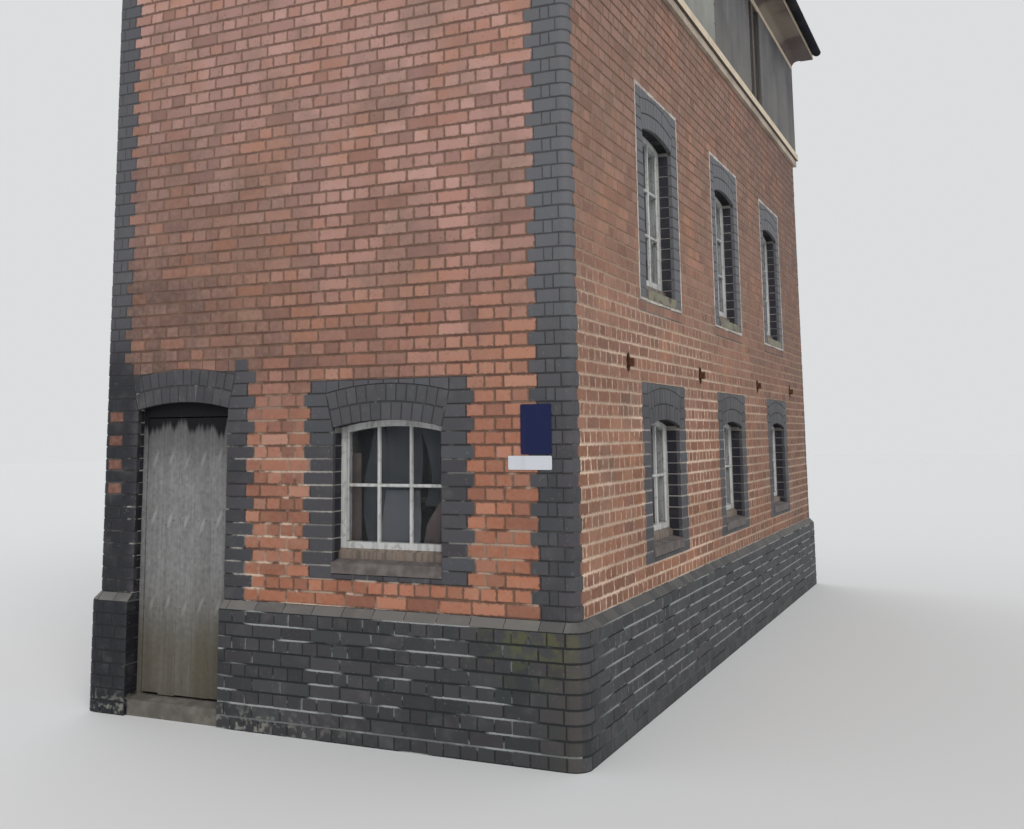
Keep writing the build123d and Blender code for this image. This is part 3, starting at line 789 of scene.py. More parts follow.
def divide(low, high, joints):
    """Brick ends from low to high at the bond's joints, with no sliver and no over-long piece."""
    cuts = [low] + [place for place in joints if low + shortest < place < high - shortest] + [high]
    pieces = []
    for first, second in zip(cuts, cuts[1:]):
        count = math.ceil((second - first) / longest)
        step = (second - first) / count
        pieces += [(first + step * n, first + step * (n + 1)) for n in range(count)]
    return pieces


def bond_joints(side, stretchers=False):
    """All joints of a course of a wall, stretchers and headers overlapping by a quarter brick."""
    half = walls[side].half
    step = stretcher if stretchers else header
    start = -half + stretcher + (0.0 if stretchers else closer)
    first = start - step * math.floor((start + half) / step)
    return [first + step * number for number in range(int(2 * half / step) + 1)]


def course_start(side, stretchers):
    """Where a course of a wall starts in its flat layout."""
    half = walls[side].half
    if side in long_sides:
        return -half + (short_reach if stretchers else long_reach)
    return -(half + (long_reach if stretchers else short_reach) + bullnose * (math.pi / 2 - 2))


def gap_edge(opening, sign, low):
    """Where a course stops beside an opening: at its jamb, the slope of its arch or its arch's corner."""
    gap = opening_half + max(0.0, low - opening.springing) * math.tan(arch_lean)
    if low + course / 2 > opening.corner:
        gap = ring_half + joint / 2
    return opening.place + sign * gap


def blue_edge(side, sign, opening, stretchers, end):
    """Where the blue brick at one end of a part of a course stops, and the joints inside it."""
    if opening:
        reach = opening_half + opening.teeth[-sign][0 if stretchers else 1]
        return opening.place - sign * reach, ()
    if side in long_sides:
        return end, ()
    reach, joints = (quoins_by_door if (side, sign) == ("door_end", 1) else quoins)[stretchers]
    half = walls[side].half
    return sign * (half - reach), sorted(sign * (half - inset) for inset in joints)


print("a metre of wall is divided into", len(divide(0, 1, bond_joints("rear", True))), "stretchers")

# %% [markdown]
# A course is cut into parts by the openings. In each part the blue bricks come first, those of the
# quoins and jambs, and what is left between them is red. Each brick remembers the opening that it
# touches, because its side then shows in the reveal.

# %% Bricks of one course
Brick = namedtuple("Brick", "low high bottom top blue at_low at_high", defaults=(True, None, None))
least_show = 0.02


def lay_course(side, low, stretchers, all_blue=False):
    """The bricks of one course, each with its colour and the openings that it touches."""
    start, joints = course_start(side, stretchers), bond_joints(side, stretchers)
    met = [opening for opening in openings[side]
           if opening.sill - course / 2 < low + course / 2 and low + least_show < opening.crown]
    met.sort(key=lambda opening: opening.place)
    laid = []
    for before, after in zip([None, *met], [*met, None]):
        first = gap_edge(before, 1, low) if before else start
        last = gap_edge(after, -1, low) if after else -start
        blue_low, low_joints = blue_edge(side, -1, before, stretchers, first)
        blue_high, high_joints = blue_edge(side, 1, after, stretchers, last)
        zones = [(first, blue_low, low_joints, True), (blue_low, blue_high, joints, False),
                 (blue_high, last, high_joints, True)]
        if all_blue or blue_low > blue_high - shortest:
            zones = [(first, last, joints, True)]
        pieces = [(*piece, blue) for zone_low, zone_high, cuts, blue in zones if zone_high > zone_low
                  for piece in divide(zone_low, zone_high, cuts)]
        for index, (piece_low, piece_high, blue) in enumerate(pieces):
            at_low = before if index == 0 else None
            at_high = after if index == len(pieces) - 1 else None
            laid.append(Brick(piece_low, piece_high, low, low + course, blue, at_low, at_high))
    return laid


def without_joints(brick):
    """The sides of a brick inside its joints. A brick beside an opening stands a little into it."""
    low = brick.low + (-into_opening if brick.at_low else head_joint / 2)
    high = brick.high - (-into_opening if brick.at_high else head_joint / 2)
    return low, high, brick.bottom + joint / 2, brick.top - joint / 2


sample = lay_course("door_end", 1.5, True)
blue_count = sum(brick.blue for brick in sample)
print("bricks in a course beside the window:", len(sample), "of them blue:", blue_count)

# %% [markdown]
# Bricks that meet an arch are cut to it. A plain box of the brick's size is cut with bisect_plane
# along the sloping end of the ring, or along its back, and the cut is closed again.

# %% Cutting a brick to an arch
def everything(bm):
    """All points, edges and faces of a bmesh."""
    return bm.verts[:] + bm.edges[:] + bm.faces[:]


def cut_brick(low, high, bottom, top, cutters):
    """A brick cut by planes given as (point, normal) in along, out and up; the normal's side stays."""
    bm = bmesh.new()
    block(bm, (high - low, 2 * proud, top - bottom), ((low + high) / 2, 0, (top + bottom) / 2))
    for point, normal in cutters:
        if not bm.verts:
            break
        cut = bmesh.ops.bisect_plane(bm, geom=everything(bm), plane_co=point, plane_no=normal,
                                     clear_inner=True)
        edges = [item for item in cut["geom_cut"] if isinstance(item, bmesh.types.BMEdge)]
        if edges:
            bmesh.ops.edgeloop_fill(bm, edges=edges)
    bmesh.ops.recalc_face_normals(bm, faces=bm.faces)
    return take_apart(bm)


def ring_plane(opening, normal, distance):
    """A plane across a direction from the arch's centre, that far from it."""
    return Vector((opening.place, 0, opening.centre)) + normal * distance, normal


def skew_plane(opening, sign):
    """The plane along a sloping end of the arch ring, a joint away from it."""
    return ring_plane(opening, Vector((sign * math.cos(arch_lean), 0, -math.sin(arch_lean))), joint / 2)


def back_plane(opening, along):
    """The plane that touches the back of the arch ring above a place, a joint away from it."""
    angle = math.asin((along - opening.place) / extrados)
    return ring_plane(opening, Vector((math.sin(angle), 0, math.cos(angle))), extrados + joint * 0.7)


points, faces = cut_brick(0, 0.1, 0, 0.08, [((0.05, 0, 0), (1, 0, -0.3))])
print("a cut brick has", len(points), "points and", len(faces), "faces")

# %% [markdown]
# Bricks are gathered in piles, one for each piece of the finished model. The pattern is stamped for
# a whole pile at once with arrays of numbers, which takes a moment where ten thousand separate
# objects would take minutes. Each brick is shifted and tilted by a hair, and gets its three random
# numbers.

# %% Piles of bricks
dice = np.random.default_rng(1873)


class Pile:
    """Bricks of one kind on one wall, which become one mesh."""

    def __init__(self):
        self.points, self.faces, self.numbers, self.edges = [], [], [], []
        self.size = self.bricks = 0

    def add(self, side, along, out, up, faces, numbers, edges=None, bricks=1):
        """Adds ready points, given in a wall's flat layout."""
        if walls[side].turned_over:
            faces = [face[::-1] for face in faces]
        self.points.append(on_wall(side, along, out, up))
        self.faces += [[index + self.size for index in face] for face in faces]
        self.numbers.append(numbers)
        self.edges.append(np.tile((0.0, 0.0, 1.0), (len(along), 1)) if edges is None else edges)
        self.size += len(along)
        self.bricks += bricks


piles = defaultdict(Pile)


def stamp(name, side, pattern, bricks, surface, rough):
    """Stamps bricks given as rows of low, high, bottom, top, back, out and three numbers."""
    count, size = len(bricks), len(pattern.along)
    table = np.array(bricks).reshape(-1, 9)
    low, high, bottom, top, back, out = (table[:, column, None] for column in range(6))
    shift = dice.normal(0, 0.0009 * rough, (count, 1))
    lift = dice.normal(0, 0.0007 * rough, (count, 1))
    tilt = dice.normal(0, 0.0009 * rough, (count, 2))
    sink = dice.normal(0, 0.0006 * rough, (count, 1))
    chip = dice.normal(0, 0.0005 * rough, (count, size))
    along = pattern.along * (high - low) + pattern.along_offset
    up = pattern.up * (top - bottom) + pattern.up_offset
    leant = tilt[:, :1] * (pattern.along - 0.5) + tilt[:, 1:] * (pattern.up - 0.5)
    face_out = np.where(pattern.front, out + pattern.out_offset + leant + sink + chip, back)
    placed_out, placed_up = surface(face_out, bottom + up + lift)
    base = np.array(pattern.faces)
    faces = (base[None] + (np.arange(count) * size)[:, None, None]).reshape(-1, base.shape[1]).tolist()
    half = (high - low) / 2
    edges = np.stack([np.where(pattern.front, along - half, 0.0),
                      np.where(pattern.front, up - (top - bottom) / 2, 0.0),
                      np.where(pattern.front, half, 1.0)], axis=-1).reshape(-1, 3)
    numbers = np.repeat(table[:, 6:], size, axis=0)
    placed = [values.ravel() for values in (low + along + shift, placed_out, placed_up)]
    piles[name].add(side, *placed, faces, numbers, edges, count)


def stamp_bricks(name, side, bricks, surface=lambda out, up: (out, up), rough=1.0):
    """Stamps each brick with the pattern that suits it, plain or turning the corner."""
    corner = walls[side].half - bullnose - 0.001
    for pattern, turns in ((plain_brick, False), (corner_brick, True)):
        chosen = [brick for brick in bricks if (max(abs(brick[0]), abs(brick[1])) > corner) == turns]
        if chosen:
            stamp(name, side, pattern, chosen, surface, rough)


print("piles are ready")

# %% [markdown]
# A brick of the layout is either stamped later with its pile or, where it meets an arch, cut at once.
# On the track side, a patch between the two rows of windows was rebuilt with brighter bricks. The
# pier left of the door has a red brick in the middle of some courses near its top.

# %% From the layout to the piles
patch_low, patch_high = (-0.846, 2.56), (0.848, 2.80)
red_in_pier_low, red_in_pier_high = (1.77, 1.5), (1.80, 2.5)


def is_within(place, low, high):
    """Whether a place, given as along and up, lies between two corners."""
    return all(least < value < most for value, least, most in zip(place, low, high))


def brick_numbers(side, middle, level, blue):
    """The three random numbers of a brick, brighter where the wall was patched."""
    tone, second, third = dice.random(3)
    if side == "track" and not blue and is_within((middle, level), patch_low, patch_high):
        tone = 0.72 + 0.28 * tone
    return tone, second, third


def pier_red(side, middle, level):
    """Whether a brick is one of the red ones in the pier."""
    number = int((level - plinth_top) / course)
    in_pier = side == "door_end" and is_within((middle, level), red_in_pier_low, red_in_pier_high)
    return in_pier and number % 2 == 0


def add_cut_brick(side, colour, size, cutters, numbers):
    """Cuts a brick and puts it on its pile."""
    points, faces = cut_brick(*size, cutters)
    if len(points):
        piles[f"{side}_{colour}_bricks"].add(side, *points.T, faces, np.tile(numbers, (len(points), 1)))


def place_brick(side, brick, to_stamp):
    """Turns a brick of the layout into a row for stamping, or cuts it at once if it meets an arch."""
    size = low, high, bottom, top = without_joints(brick)
    middle, level = (low + high) / 2, (bottom + top) / 2
    blue = brick.blue and not pier_red(side, middle, level)
    colour = "blue" if blue else "red"
    numbers = brick_numbers(side, middle, level, blue)
    met = [(opening, sign) for opening, sign in ((brick.at_low, 1), (brick.at_high, -1)) if opening]
    cutters = [skew_plane(opening, sign) for opening, sign in met
               if opening.springing < brick.top and brick.bottom < opening.corner]
    if cutters:
        add_cut_brick(side, colour, size, cutters, numbers)
        return
    back = -max([opening.depth for opening, sign in met], default=proud)
    spread = blue_spread if blue else 0.0
    row = (low - spread, high + spread, bottom - spread, top + spread, back, proud, *numbers)
    to_stamp[colour].append(row)


print("patch of brighter bricks, along and up:", patch_low, patch_high)

# %% [markdown]
# Three places need bricks of their own. On the back of an arch sit bricks cut to its curve, and a low
# row fills the course below a sill. Four iron stubs come through the track side, where the bricks
# leave a hole.

# %% Bricks over arches, below sills and beside stubs
least_over_arch = 0.034
stub_low, stub_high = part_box("iron_stubs")
stub_level = (stub_low.z + stub_high.z) / 2
stub_places = [place - half_length for place in (1.140, 3.241, 5.790, 7.849)]
stub_gap, shortest_by_stub = 0.030, 0.03


def bricks_over_arch(side, opening, low):
    """Bricks that sit on the back of an arch ring, cut to its curve."""
    high = low + course
    for first, last in divide(opening.place - ring_half, opening.place + ring_half, bond_joints(side)):
        middle = (first + last) / 2
        ring_top = opening.centre + math.sqrt(extrados**2 - (middle - opening.place) ** 2)
        if ring_top > high - least_over_arch:
            continue
        colour = "blue" if opening.sill else "red"
        numbers = brick_numbers(side, middle, high, colour == "blue")
        size = without_joints(Brick(first, last, low, high))
        add_cut_brick(side, colour, size, [back_plane(opening, middle)], numbers)


def bricks_below_sill(side, opening, low):
    """Low rows for stamping, which fill the course below a sill."""
    for first, last in divide(opening.place - opening_half, opening.place + opening_half, bond_joints(side)):
        yield (*without_joints(Brick(first, last, low, opening.sill)), -proud, proud, *dice.random(3))


def split_at_stubs(bricks):
    """Leaves a hole in the course for each iron stub."""
    for place in stub_places:
        low, high = place - stub_gap, place + stub_gap
        kept = []
        for brick in bricks:
            if brick.high < low or brick.low > high:
                kept.append(brick)
                continue
            if low - brick.low > shortest_by_stub:
                kept.append(brick._replace(high=low))
            if brick.high - high > shortest_by_stub:
                kept.append(brick._replace(low=high))
        bricks = kept
    return bricks


print("stubs along the track side:", np.round(stub_places, 3))

# %% [markdown]
# Now the walls themselves are laid, course by course and side by side. In even courses the ends show
# headers and the sides show stretchers.

# %% Brick walls
for side in walls:
    to_stamp = {"red": [], "blue": []}
    for number in range(wall_courses):
        low = plinth_top + number * course
        bricks = lay_course(side, low, (number % 2 == 0) == (side in ends))
        if side == "track" and low < stub_level < low + course:
            bricks = split_at_stubs(bricks)
        for brick in bricks:
            place_brick(side, brick, to_stamp)
        for opening in openings[side]:
            if low + course > opening.corner and low + least_show < opening.crown:
                bricks_over_arch(side, opening, low)
            if low + least_below_sill < opening.sill < low + course:
                to_stamp["blue"] += bricks_below_sill(side, opening, low)
    for colour, bricks in to_stamp.items():
        stamp_bricks(f"{side}_{colour}_bricks", side, bricks)
print({name: pile.bricks for name, pile in piles.items()})

# %% [markdown]
# The plinth is laid the same way, one splay's width further out, and every brick is blue. Its cap is
# a course of splayed bricks: their faces are laid on a surface that leans back at 45 degrees.

# %% Plinth and its splayed cap
plinth_courses = round((plinth_top - splay) / course)
cap_length = splay * math.sqrt(2)
half_root = math.sqrt(0.5)
cap_joint = joint / 3
cap_foot, cap_head, cap_proud = 0.001, cap_length - 0.004, 0.003


def plinth_surface(out, up):
    """The upright face of the plinth."""
    return out + plinth_outset, up


def cap_surface(out, up):
    """The splay, which starts at the plinth's face and leans back to the wall's."""
    return plinth_outset + (out - up) * half_root, plinth_top - splay + (up + out) * half_root


for side in walls:
    bricks, cap = [], []
    for number in range(plinth_courses):
        for brick in lay_course(side, number * course, (number % 2 == 1) == (side in ends), all_blue=True):
            beside_door = brick.at_low or brick.at_high
            back = -(beside_door.depth + plinth_outset) if beside_door else -proud
            bricks.append((*without_joints(brick), back, proud, *dice.random(3)))
    stamp_bricks(f"{side}_plinth_bricks", side, bricks, plinth_surface)
    for brick in lay_course(side, 0.0, side in ends, all_blue=True):
        low = brick.low + (0.0 if brick.at_low else cap_joint / 2)
        high = brick.high - (0.0 if brick.at_high else cap_joint / 2)
        cap.append((low, high, cap_foot, cap_head, -cap_proud, cap_proud, *dice.random(3)))
    stamp_bricks(f"{side}_cap_bricks", side, cap, cap_surface, rough=0.7)
print({name: pile.bricks for name, pile in piles.items() if "plinth" in name or "cap" in name})

# %% [markdown]
# Each arch is two rings of bricks on edge. One wedge-shaped brick is made at the crown, turned to
# the first place, and repeated round the arch's centre with spin, which is what that operator is
# for when it is asked to duplicate.

# %% Arch rings
half_ring = arch_depth / 2
ring_joint = joint * 0.8
ring_proud = proud + 0.001


def turn(bm, angle, axis, verts=None, centre=(0, 0, 0)):
    """Turns some or all points of a bmesh about an axis."""
    bmesh.ops.rotate(bm, cent=centre, matrix=Matrix.Rotation(angle, 3, axis), verts=verts or bm.verts)


def ring_pattern(inner, outer, count):
    """The bricks of one ring about the arch's centre: points, faces and the brick of each point."""
    pitch = 2 * arch_lean / count
    width = pitch * inner - ring_joint
    bm = bmesh.new()
    block(bm, (width, pattern_depth, outer - inner))
    front_bevel(bm)
    upper = [vert for vert in bm.verts if vert.co.z > 0]
    bmesh.ops.scale(bm, vec=((pitch * outer - ring_joint) / width, 1, 1), verts=upper)
    bmesh.ops.translate(bm, vec=(0, 0, (inner + outer) / 2), verts=bm.verts)
    turn(bm, -arch_lean + pitch / 2, "Y")
    size = len(bm.verts)
    bmesh.ops.spin(bm, geom=everything(bm), cent=(0, 0, 0), axis=(0, 1, 0), angle=pitch * (count - 1),
                   steps=count - 1, use_duplicate=True)
    points, faces = take_apart(bm)
    return points, faces, np.arange(len(points)) // size


rings = (ring_pattern(arch_radius - into_opening, arch_radius + half_ring - joint / 2, 11),
         ring_pattern(arch_radius + half_ring + joint / 2, extrados, 12))
for side, found in openings.items():
    for opening in found:
        for points, faces, brick in rings:
            count = int(brick.max()) + 1
            numbers = dice.random((count, 3))
            lift = dice.normal(0, 0.0008, count)
            along, out, up = points.T
            out = np.where(out > 0, out - pattern_depth / 2 + ring_proud + lift[brick], -opening.depth)
            piles[f"{side}_blue_bricks"].add(side, along + opening.place, out, up + opening.centre, faces,
                                             numbers[brick], bricks=count)
print("points of both rings:", [len(ring[0]) for ring in rings])

# %% [markdown]
# Each pile becomes one mesh. The random numbers go into a colour attribute on its points, and the
# distances from the brick's middle into a vector attribute, which the materials read.

# %% From piles to pieces
def add_piece(name, mesh, material, slot, body="building"):
    """Links a mesh as a piece of the model that rides on a body, gives it its material and prints its size.
    The slot is not used.
    """
    piece = add_object(name, mesh)
    mesh.materials.append(material)
    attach(piece, body)
    print(name, "triangles:", sum(len(polygon.vertices) - 2 for polygon in mesh.polygons))
    return piece


def add_attribute(mesh, name, kind, field, values):
    """Stores a row of numbers for each point of a mesh."""
    attribute = mesh.attributes.new(name, kind, "POINT")
    attribute.data.foreach_set(field, values.astype(np.float32).ravel())


brick_kinds = {"red": (red_brick, "red_brick"), "blue": (blue_brick, "blue_brick"),
               "plinth": (plinth_brick, "blue_brick"), "cap": (cap_brick, "blue_brick")}
for name, pile in piles.items():
    mesh = bpy.data.meshes.new(name)
    mesh.from_pydata(np.concatenate(pile.points).tolist(), [], pile.faces)
    numbers = np.concatenate(pile.numbers)
    add_attribute(mesh, "brick", "FLOAT_COLOR", "color", np.hstack([numbers, np.ones((len(numbers), 1))]))
    add_attribute(mesh, "edge", "FLOAT_VECTOR", "vector", np.concatenate(pile.edges))
    mesh.update()
    add_piece(name, mesh, *brick_kinds[name.rsplit("_", 2)[1]])
print("bricks in all:", sum(pile.bricks for pile in piles.values()))

# %% [markdown]
# The upper windows are outlined in pale lime, smeared over the edge of the blue brick when they were
# repointed. It is a thin raised bead in short lengths of uneven width.

# %% Lime pointing round the upper windows
pale_lime = mottled("pale_lime", 0.95, 0.1, (patches, 18.0, 6.0, 0.35, 0.70, 5.0),
                    (0.60, 0.55, 0.50), (0.38, 0.33, 0.29)).done(70.0, 0.6, 0.003)
bead_width, bead_proud, bead_edge = 0.017, 0.007, 0.002
bead_overlap = 0.01
upright_lengths, level_lengths = 9, 7


def to_building(bm, side):
    """Moves points given as along, out and up to their places on a side of the building."""
    wall = walls[side]
    for vert in bm.verts:
        along, out, up = vert.co
        plan = wall.axis * along + wall.normal * (wall.face + out)
        vert.co = (plan.x, plan.y, up)
    if wall.turned_over:
        bmesh.ops.reverse_faces(bm, faces=bm.faces)
    return bm


def finish_piece(name, parts, material, slot, body="building"):
    """Joins bmeshes into one piece of the model."""
    joined = bmesh.new()
    mesh = bpy.data.meshes.new(name)
    for part in parts:
        part.to_mesh(mesh)
        part.free()
        joined.from_mesh(mesh)
    joined.to_mesh(mesh)
    joined.free()
    return add_piece(name, mesh, material, slot, body)


def window_bead(opening):
    """The bead round one surround, in the wall's flat layout."""
    bm = bmesh.new()
    edge = opening_half + opening.teeth[1][0]
    foot, head = opening.sill - 0.010, opening.head
    step = (head - foot) / upright_lengths
    for sign in (-1, 1):
        for number in range(upright_lengths):
            block(bm, (bead_width * dice.uniform(0.5, 1.3), bead_proud, step + bead_overlap),
                  (opening.place + sign * edge, bead_proud / 2, foot + step * (number + 0.5)), bead_edge)
    step = 2 * edge / level_lengths
    for level in (head, foot):
        for number in range(level_lengths):
            block(bm, (step + bead_overlap, bead_proud, bead_width * dice.uniform(0.8, 1.9)),
                  (opening.place - edge + step * (number + 0.5), bead_proud / 2, level), bead_edge)
    return bm


beads = [to_building(window_bead(opening), side) for side in long_sides for opening in openings[side]
         if opening.sill == upper_sill]
finish_piece("upper_window_lime", beads, pale_lime, "red_brick")

# %% [markdown]
# The windows have a frame and one sheet of glass from the CAD. The glazing bars are added here: two
# uprights and one or two cross bars, chamfered, standing just in front of the glass, and a thin
# bead down each side. Paint flakes off the frames and shows grey wood, and the timber sill below
# has none left.

# %% Window frames and glazing bars
frame_stile = 0.045
stone_sill, timber_sill = 0.090, 0.065
both_sills = stone_sill + timber_sill
bar_width, bar_depth, bar_edge = 0.022, 0.028, 0.005
bar_out = -reveal - 0.018
into_frame, into_stiles = 0.01, 0.004
bead_bar, bead_bar_edge = (0.014, 0.016), 0.003
bead_inset, bead_forward = 0.006, 0.004


def flaking_paint():
    paint = mottled("flaking_paint", 0.6, 0.35, (streaks, 30.0, 5.0, 0.45, 0.62, 8.0),
                    (0.56, 0.56, 0.55), (0.42, 0.42, 0.41))
    fine = paint.mask
    chips = paint.cloudy(patches, 26.0, 7.0, 0.55, 0.60, 2.0)
    paint.layer((0.25, 0.235, 0.21), chips, 0.42)
    level, sill_top = paint.place()[2], both_sills + 0.002
    bare = (level < lower_sill + sill_top) | level.between(upper_sill, upper_sill + sill_top)
    paint.layer(paint.mix(fine, (0.235, 0.185, 0.150), (0.125, 0.105, 0.090)), bare)
    return paint.done(distance=0.0015, height=fine - chips)


def glazing_bars(opening):
    """Bars of one window in the wall's flat layout."""
    bm = bmesh.new()
    place, springing = opening.place, opening.springing
    foot = opening.sill + both_sills + frame_stile
    half = opening_half - frame_stile
    for offset in (-half / 3, half / 3):
        head = opening.centre + math.sqrt(arch_radius**2 - offset**2) - frame_stile
        block(bm, (bar_width, bar_depth, head - foot + into_frame),
              (place + offset, bar_out, (head + foot) / 2), bar_edge)
    cross_bars = 2 if opening.sill == upper_sill else 1
    top = springing + arch_rise - frame_stile
    for number in range(cross_bars):
        level = foot + (top - foot - 0.02) * (number + 1) / (cross_bars + 1)
        block(bm, (2 * half + into_stiles, bar_depth * 0.9, bar_width), (place, bar_out, level), bar_edge)
    for sign in (-1, 1):
        centre = (place + sign * (half - bead_inset), bar_out + bead_forward, (springing + foot) / 2)
        block(bm, (*bead_bar, springing - foot - 0.01), centre, bead_bar_edge)
    return bm


frame_paint = flaking_paint()
give(frame_paint, "track_window_frames", "rear_window_frames", "end_window_frames")
for name, sides in (("track", ["track"]), ("rear", ["rear"]), ("end", ends)):
    bars = [to_building(glazing_bars(opening), side) for side in sides for opening in openings[side]
            if opening is not doorway]
    finish_piece(f"{name}_glazing_bars", bars, frame_paint, "frame_paint")

# %% [markdown]
# Behind the glass hang the remains of dark sheets. Each is a grid bent between two curved upright
# edges, so that black gaps open between them. Solidify then gives it its thickness.

# %% Hanging sheets
sheet_thick = 0.003


def hanging_sheet(side, place, foot, head, depth, left_edge, right_edge, bulge):
    """A sheet between two edges, each a few distances from the window's middle from foot to head."""
    bm = bmesh.new()
    bmesh.ops.create_grid(bm, x_segments=8, y_segments=16, size=0.5)
    for vert in bm.verts:
        across, high = vert.co.x + 0.5, vert.co.y + 0.5
        left, right = (np.interp(high, np.linspace(0, 1, len(edge)), edge)
                       for edge in (left_edge, right_edge))
        bent = bulge * math.sin(math.pi * across) * math.cos(2.2 * high)
        vert.co = (place + left + (right - left) * across, -depth - bent, foot + (head - foot) * high)
    bmesh.ops.solidify(bm, geom=everything(bm), thickness=sheet_thick)
    bmesh.ops.recalc_face_normals(bm, faces=bm.faces)
    return to_building(bm, side)


def old_sheet_finish(name, dark, light, dusty):
    paint = mottled(name, 0.6, 0.35, (streaks, 9.0, 3.0, 0.35, 0.70, 3.0), dark, light)
    paint.layer(dusty, paint.cloudy(patches, 4.0, 6.0, 0.40, 0.75, 1.0), 0.4)
    return paint.done(distance=0.004, height=paint.mask)


torn = old_sheet_finish("torn_sheet", (0.036, 0.042, 0.052), (0.062, 0.068, 0.080), (0.095, 0.098, 0.105))
slipped = old_sheet_finish("slipped_sheet", (0.125, 0.132, 0.150), (0.175, 0.182, 0.200), (0.20, 0.20, 0.21))
board = old_sheet_finish("old_red_board", (0.140, 0.100, 0.094), (0.190, 0.140, 0.130), (0.110, 0.085, 0.080))
print("made", torn.name, slipped.name, board.name)

# %% [markdown]
# In the window by the door a lighter sheet has slipped down in the middle, another curls away on the
# right, and a strip of old red board stands at the left. The side windows have two sheets each, which
# hang a little differently in each window.

# %% Torn sheets inside the windows
sheet_depth, sheet_foot = reveal + 0.082, both_sills + 0.02
level, head = lower_sill + sheet_foot, lower_springing + 0.035
end_sheets = (
    ("upper_sheet", torn, level + 0.30, head, 0.014, (-0.15, -0.17, -0.16), (0.14, 0.16, 0.12), 0.010),
    ("left_sheet", torn, level, head, 0.006, (0.10, 0.09, 0.12), (0.25, 0.29, 0.29, 0.24, 0.20), 0.020),
    ("slipped", slipped, level, level + 0.37, -0.012, (-0.16, -0.17, -0.16), (0.15, 0.13, 0.10), 0.010),
    ("curled_sheet", torn, level + 0.27, head, 0.004, (-0.40, -0.40), (-0.19, -0.25, -0.21, -0.14), 0.030),
    ("lower_scrap", board, level, level + 0.30, 0.016, (-0.40, -0.40), (-0.17, -0.20, -0.30), 0.020),
    ("board_strip", board, level, level + 0.62, 0.020, (0.315, 0.320), (0.395, 0.395), 0.002),
)
for label, finish, foot, head, deeper, left_edge, right_edge, bulge in end_sheets:
    parts = [hanging_sheet(side, end_window, foot, head, sheet_depth + deeper, left_edge, right_edge, bulge)
             for side in ends]
    finish_piece(f"inner_{label}", parts, finish, "grey_sheet")
left_parts, right_parts = [], []
for side in long_sides:
    for index, opening in enumerate(openings[side]):
        foot, head = opening.sill + sheet_foot, opening.springing + 0.03
        slack = 0.04 + 0.03 * math.sin(2.3 * index)
        left_parts.append(hanging_sheet(side, opening.place, foot, head, sheet_depth,
                                        (-0.39, -0.38), (-0.08 - slack, -0.12, -0.05), 0.020))
        right_parts.append(hanging_sheet(side, opening.place, foot + 4 * slack, head, sheet_depth + 0.008,
                                         (0.02 + slack, 0.05, 0.0), (0.39, 0.38), 0.025))
finish_piece("inner_side_sheets", left_parts, torn, "grey_sheet")
finish_piece("inner_side_slipped_sheets", right_parts, slipped, "grey_sheet")

# %% [markdown]
# Stone, iron and glass come next. The stone sills are dark, and those of the upper windows are grown
# over in pale green. The iron is all rust, and the dusty glass lets some of the light through.

# %% Stone, iron, glass and floors
def stone_finish(name, base, light, mossy=False):
    """Mottled stone, with moss on what lies above the lower windows."""
    paint = mottled(name, 0.85, 0.25, (patches, 12.0, 7.0, 0.35, 0.70, 3.0), base, light)
    if mossy:
        grown = paint.band("Up", 2.5, 2.9) * paint.cloudy(patches, 9.0, 6.0, 0.36, 0.55, 5.0)
        paint.layer((0.235, 0.222, 0.160), grown)
    return paint.done(50.0, 0.8, 0.003)


def glass_finish():
    paint = mottled("dusty_glass", 0.10, 0.3, (patches, 6.0, 6.0, 0.40, 0.80, 3.0),
                    (0.30, 0.32, 0.34), (0.20, 0.21, 0.21))
    put(paint.shader["Alpha"], paint.mask * 0.16 + 0.24)
    put(paint.shader["Transmission Weight"], 0.85)
    put(paint.shader["IOR"], 1.12)
    return paint.done(4.0, 0.2, 0.0008)


give(stone_finish("sill_stone", (0.110, 0.094, 0.090), (0.180, 0.160, 0.150), True), "window_sills")
give(stone_finish("threshold_stone", (0.115, 0.105, 0.092), (0.185, 0.172, 0.150)), "threshold")
give(stone_finish("paving", (0.16, 0.13, 0.11), (0.24, 0.20, 0.17)), "ground_floor")
give(glass_finish(), "track_glass", "rear_glass", "end_glass")
rusty_iron = mottled("rusty_iron", 0.9, 0.2, (patches, 40.0, 7.0, 0.35, 0.70, 3.0),
                     (0.055, 0.024, 0.014), (0.150, 0.060, 0.028)).done(120.0, 0.6, 0.003)
give(rusty_iron, "iron_stubs", "door_pins", "door_straps")

# %% [markdown]
# The door's boards are bare and silvered. Old clinched nails have left a pale slanting scar in each
# board at the three ledges. Those marks are soft stains and no relief, so the material draws them.
# Other timber, such as posts and floors, is darker.

# %% Door wood and dark wood
leaf_low, leaf_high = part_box("door_boards")
ledge_levels = (0.788, 1.379, 1.849)
board_count = 5
board_step = (leaf_high.y - leaf_low.y) / board_count
scar_lean, scar_half_width, scar_half_height = 0.36, 0.020, 0.068


def scars(paint):
    """Pale slanting scars, one to a board at each ledge, from rows of soft ellipses."""
    along, across, up = paint.place()
    column = (across - leaf_low.y) / board_step
    from_middle = (column.math("FRACT") - 0.5) * board_step
    total = 0.0
    for number, level in enumerate(ledge_levels):
        shake = paint.node("TexWhiteNoise", noise_dimensions="1D",
                           W=column.math("FLOOR") + (7.3 * number + 0.2))
        above = up - (Value(shake.outputs["Value"]) * 0.08 + (level - 0.04))
        wide = (abs(above * scar_lean + from_middle) / scar_half_width).math("POWER", 2.0)
        tall = (abs(above) / scar_half_height).math("POWER", 2.0)
        total = (1 - (wide + tall)) | total
    return total


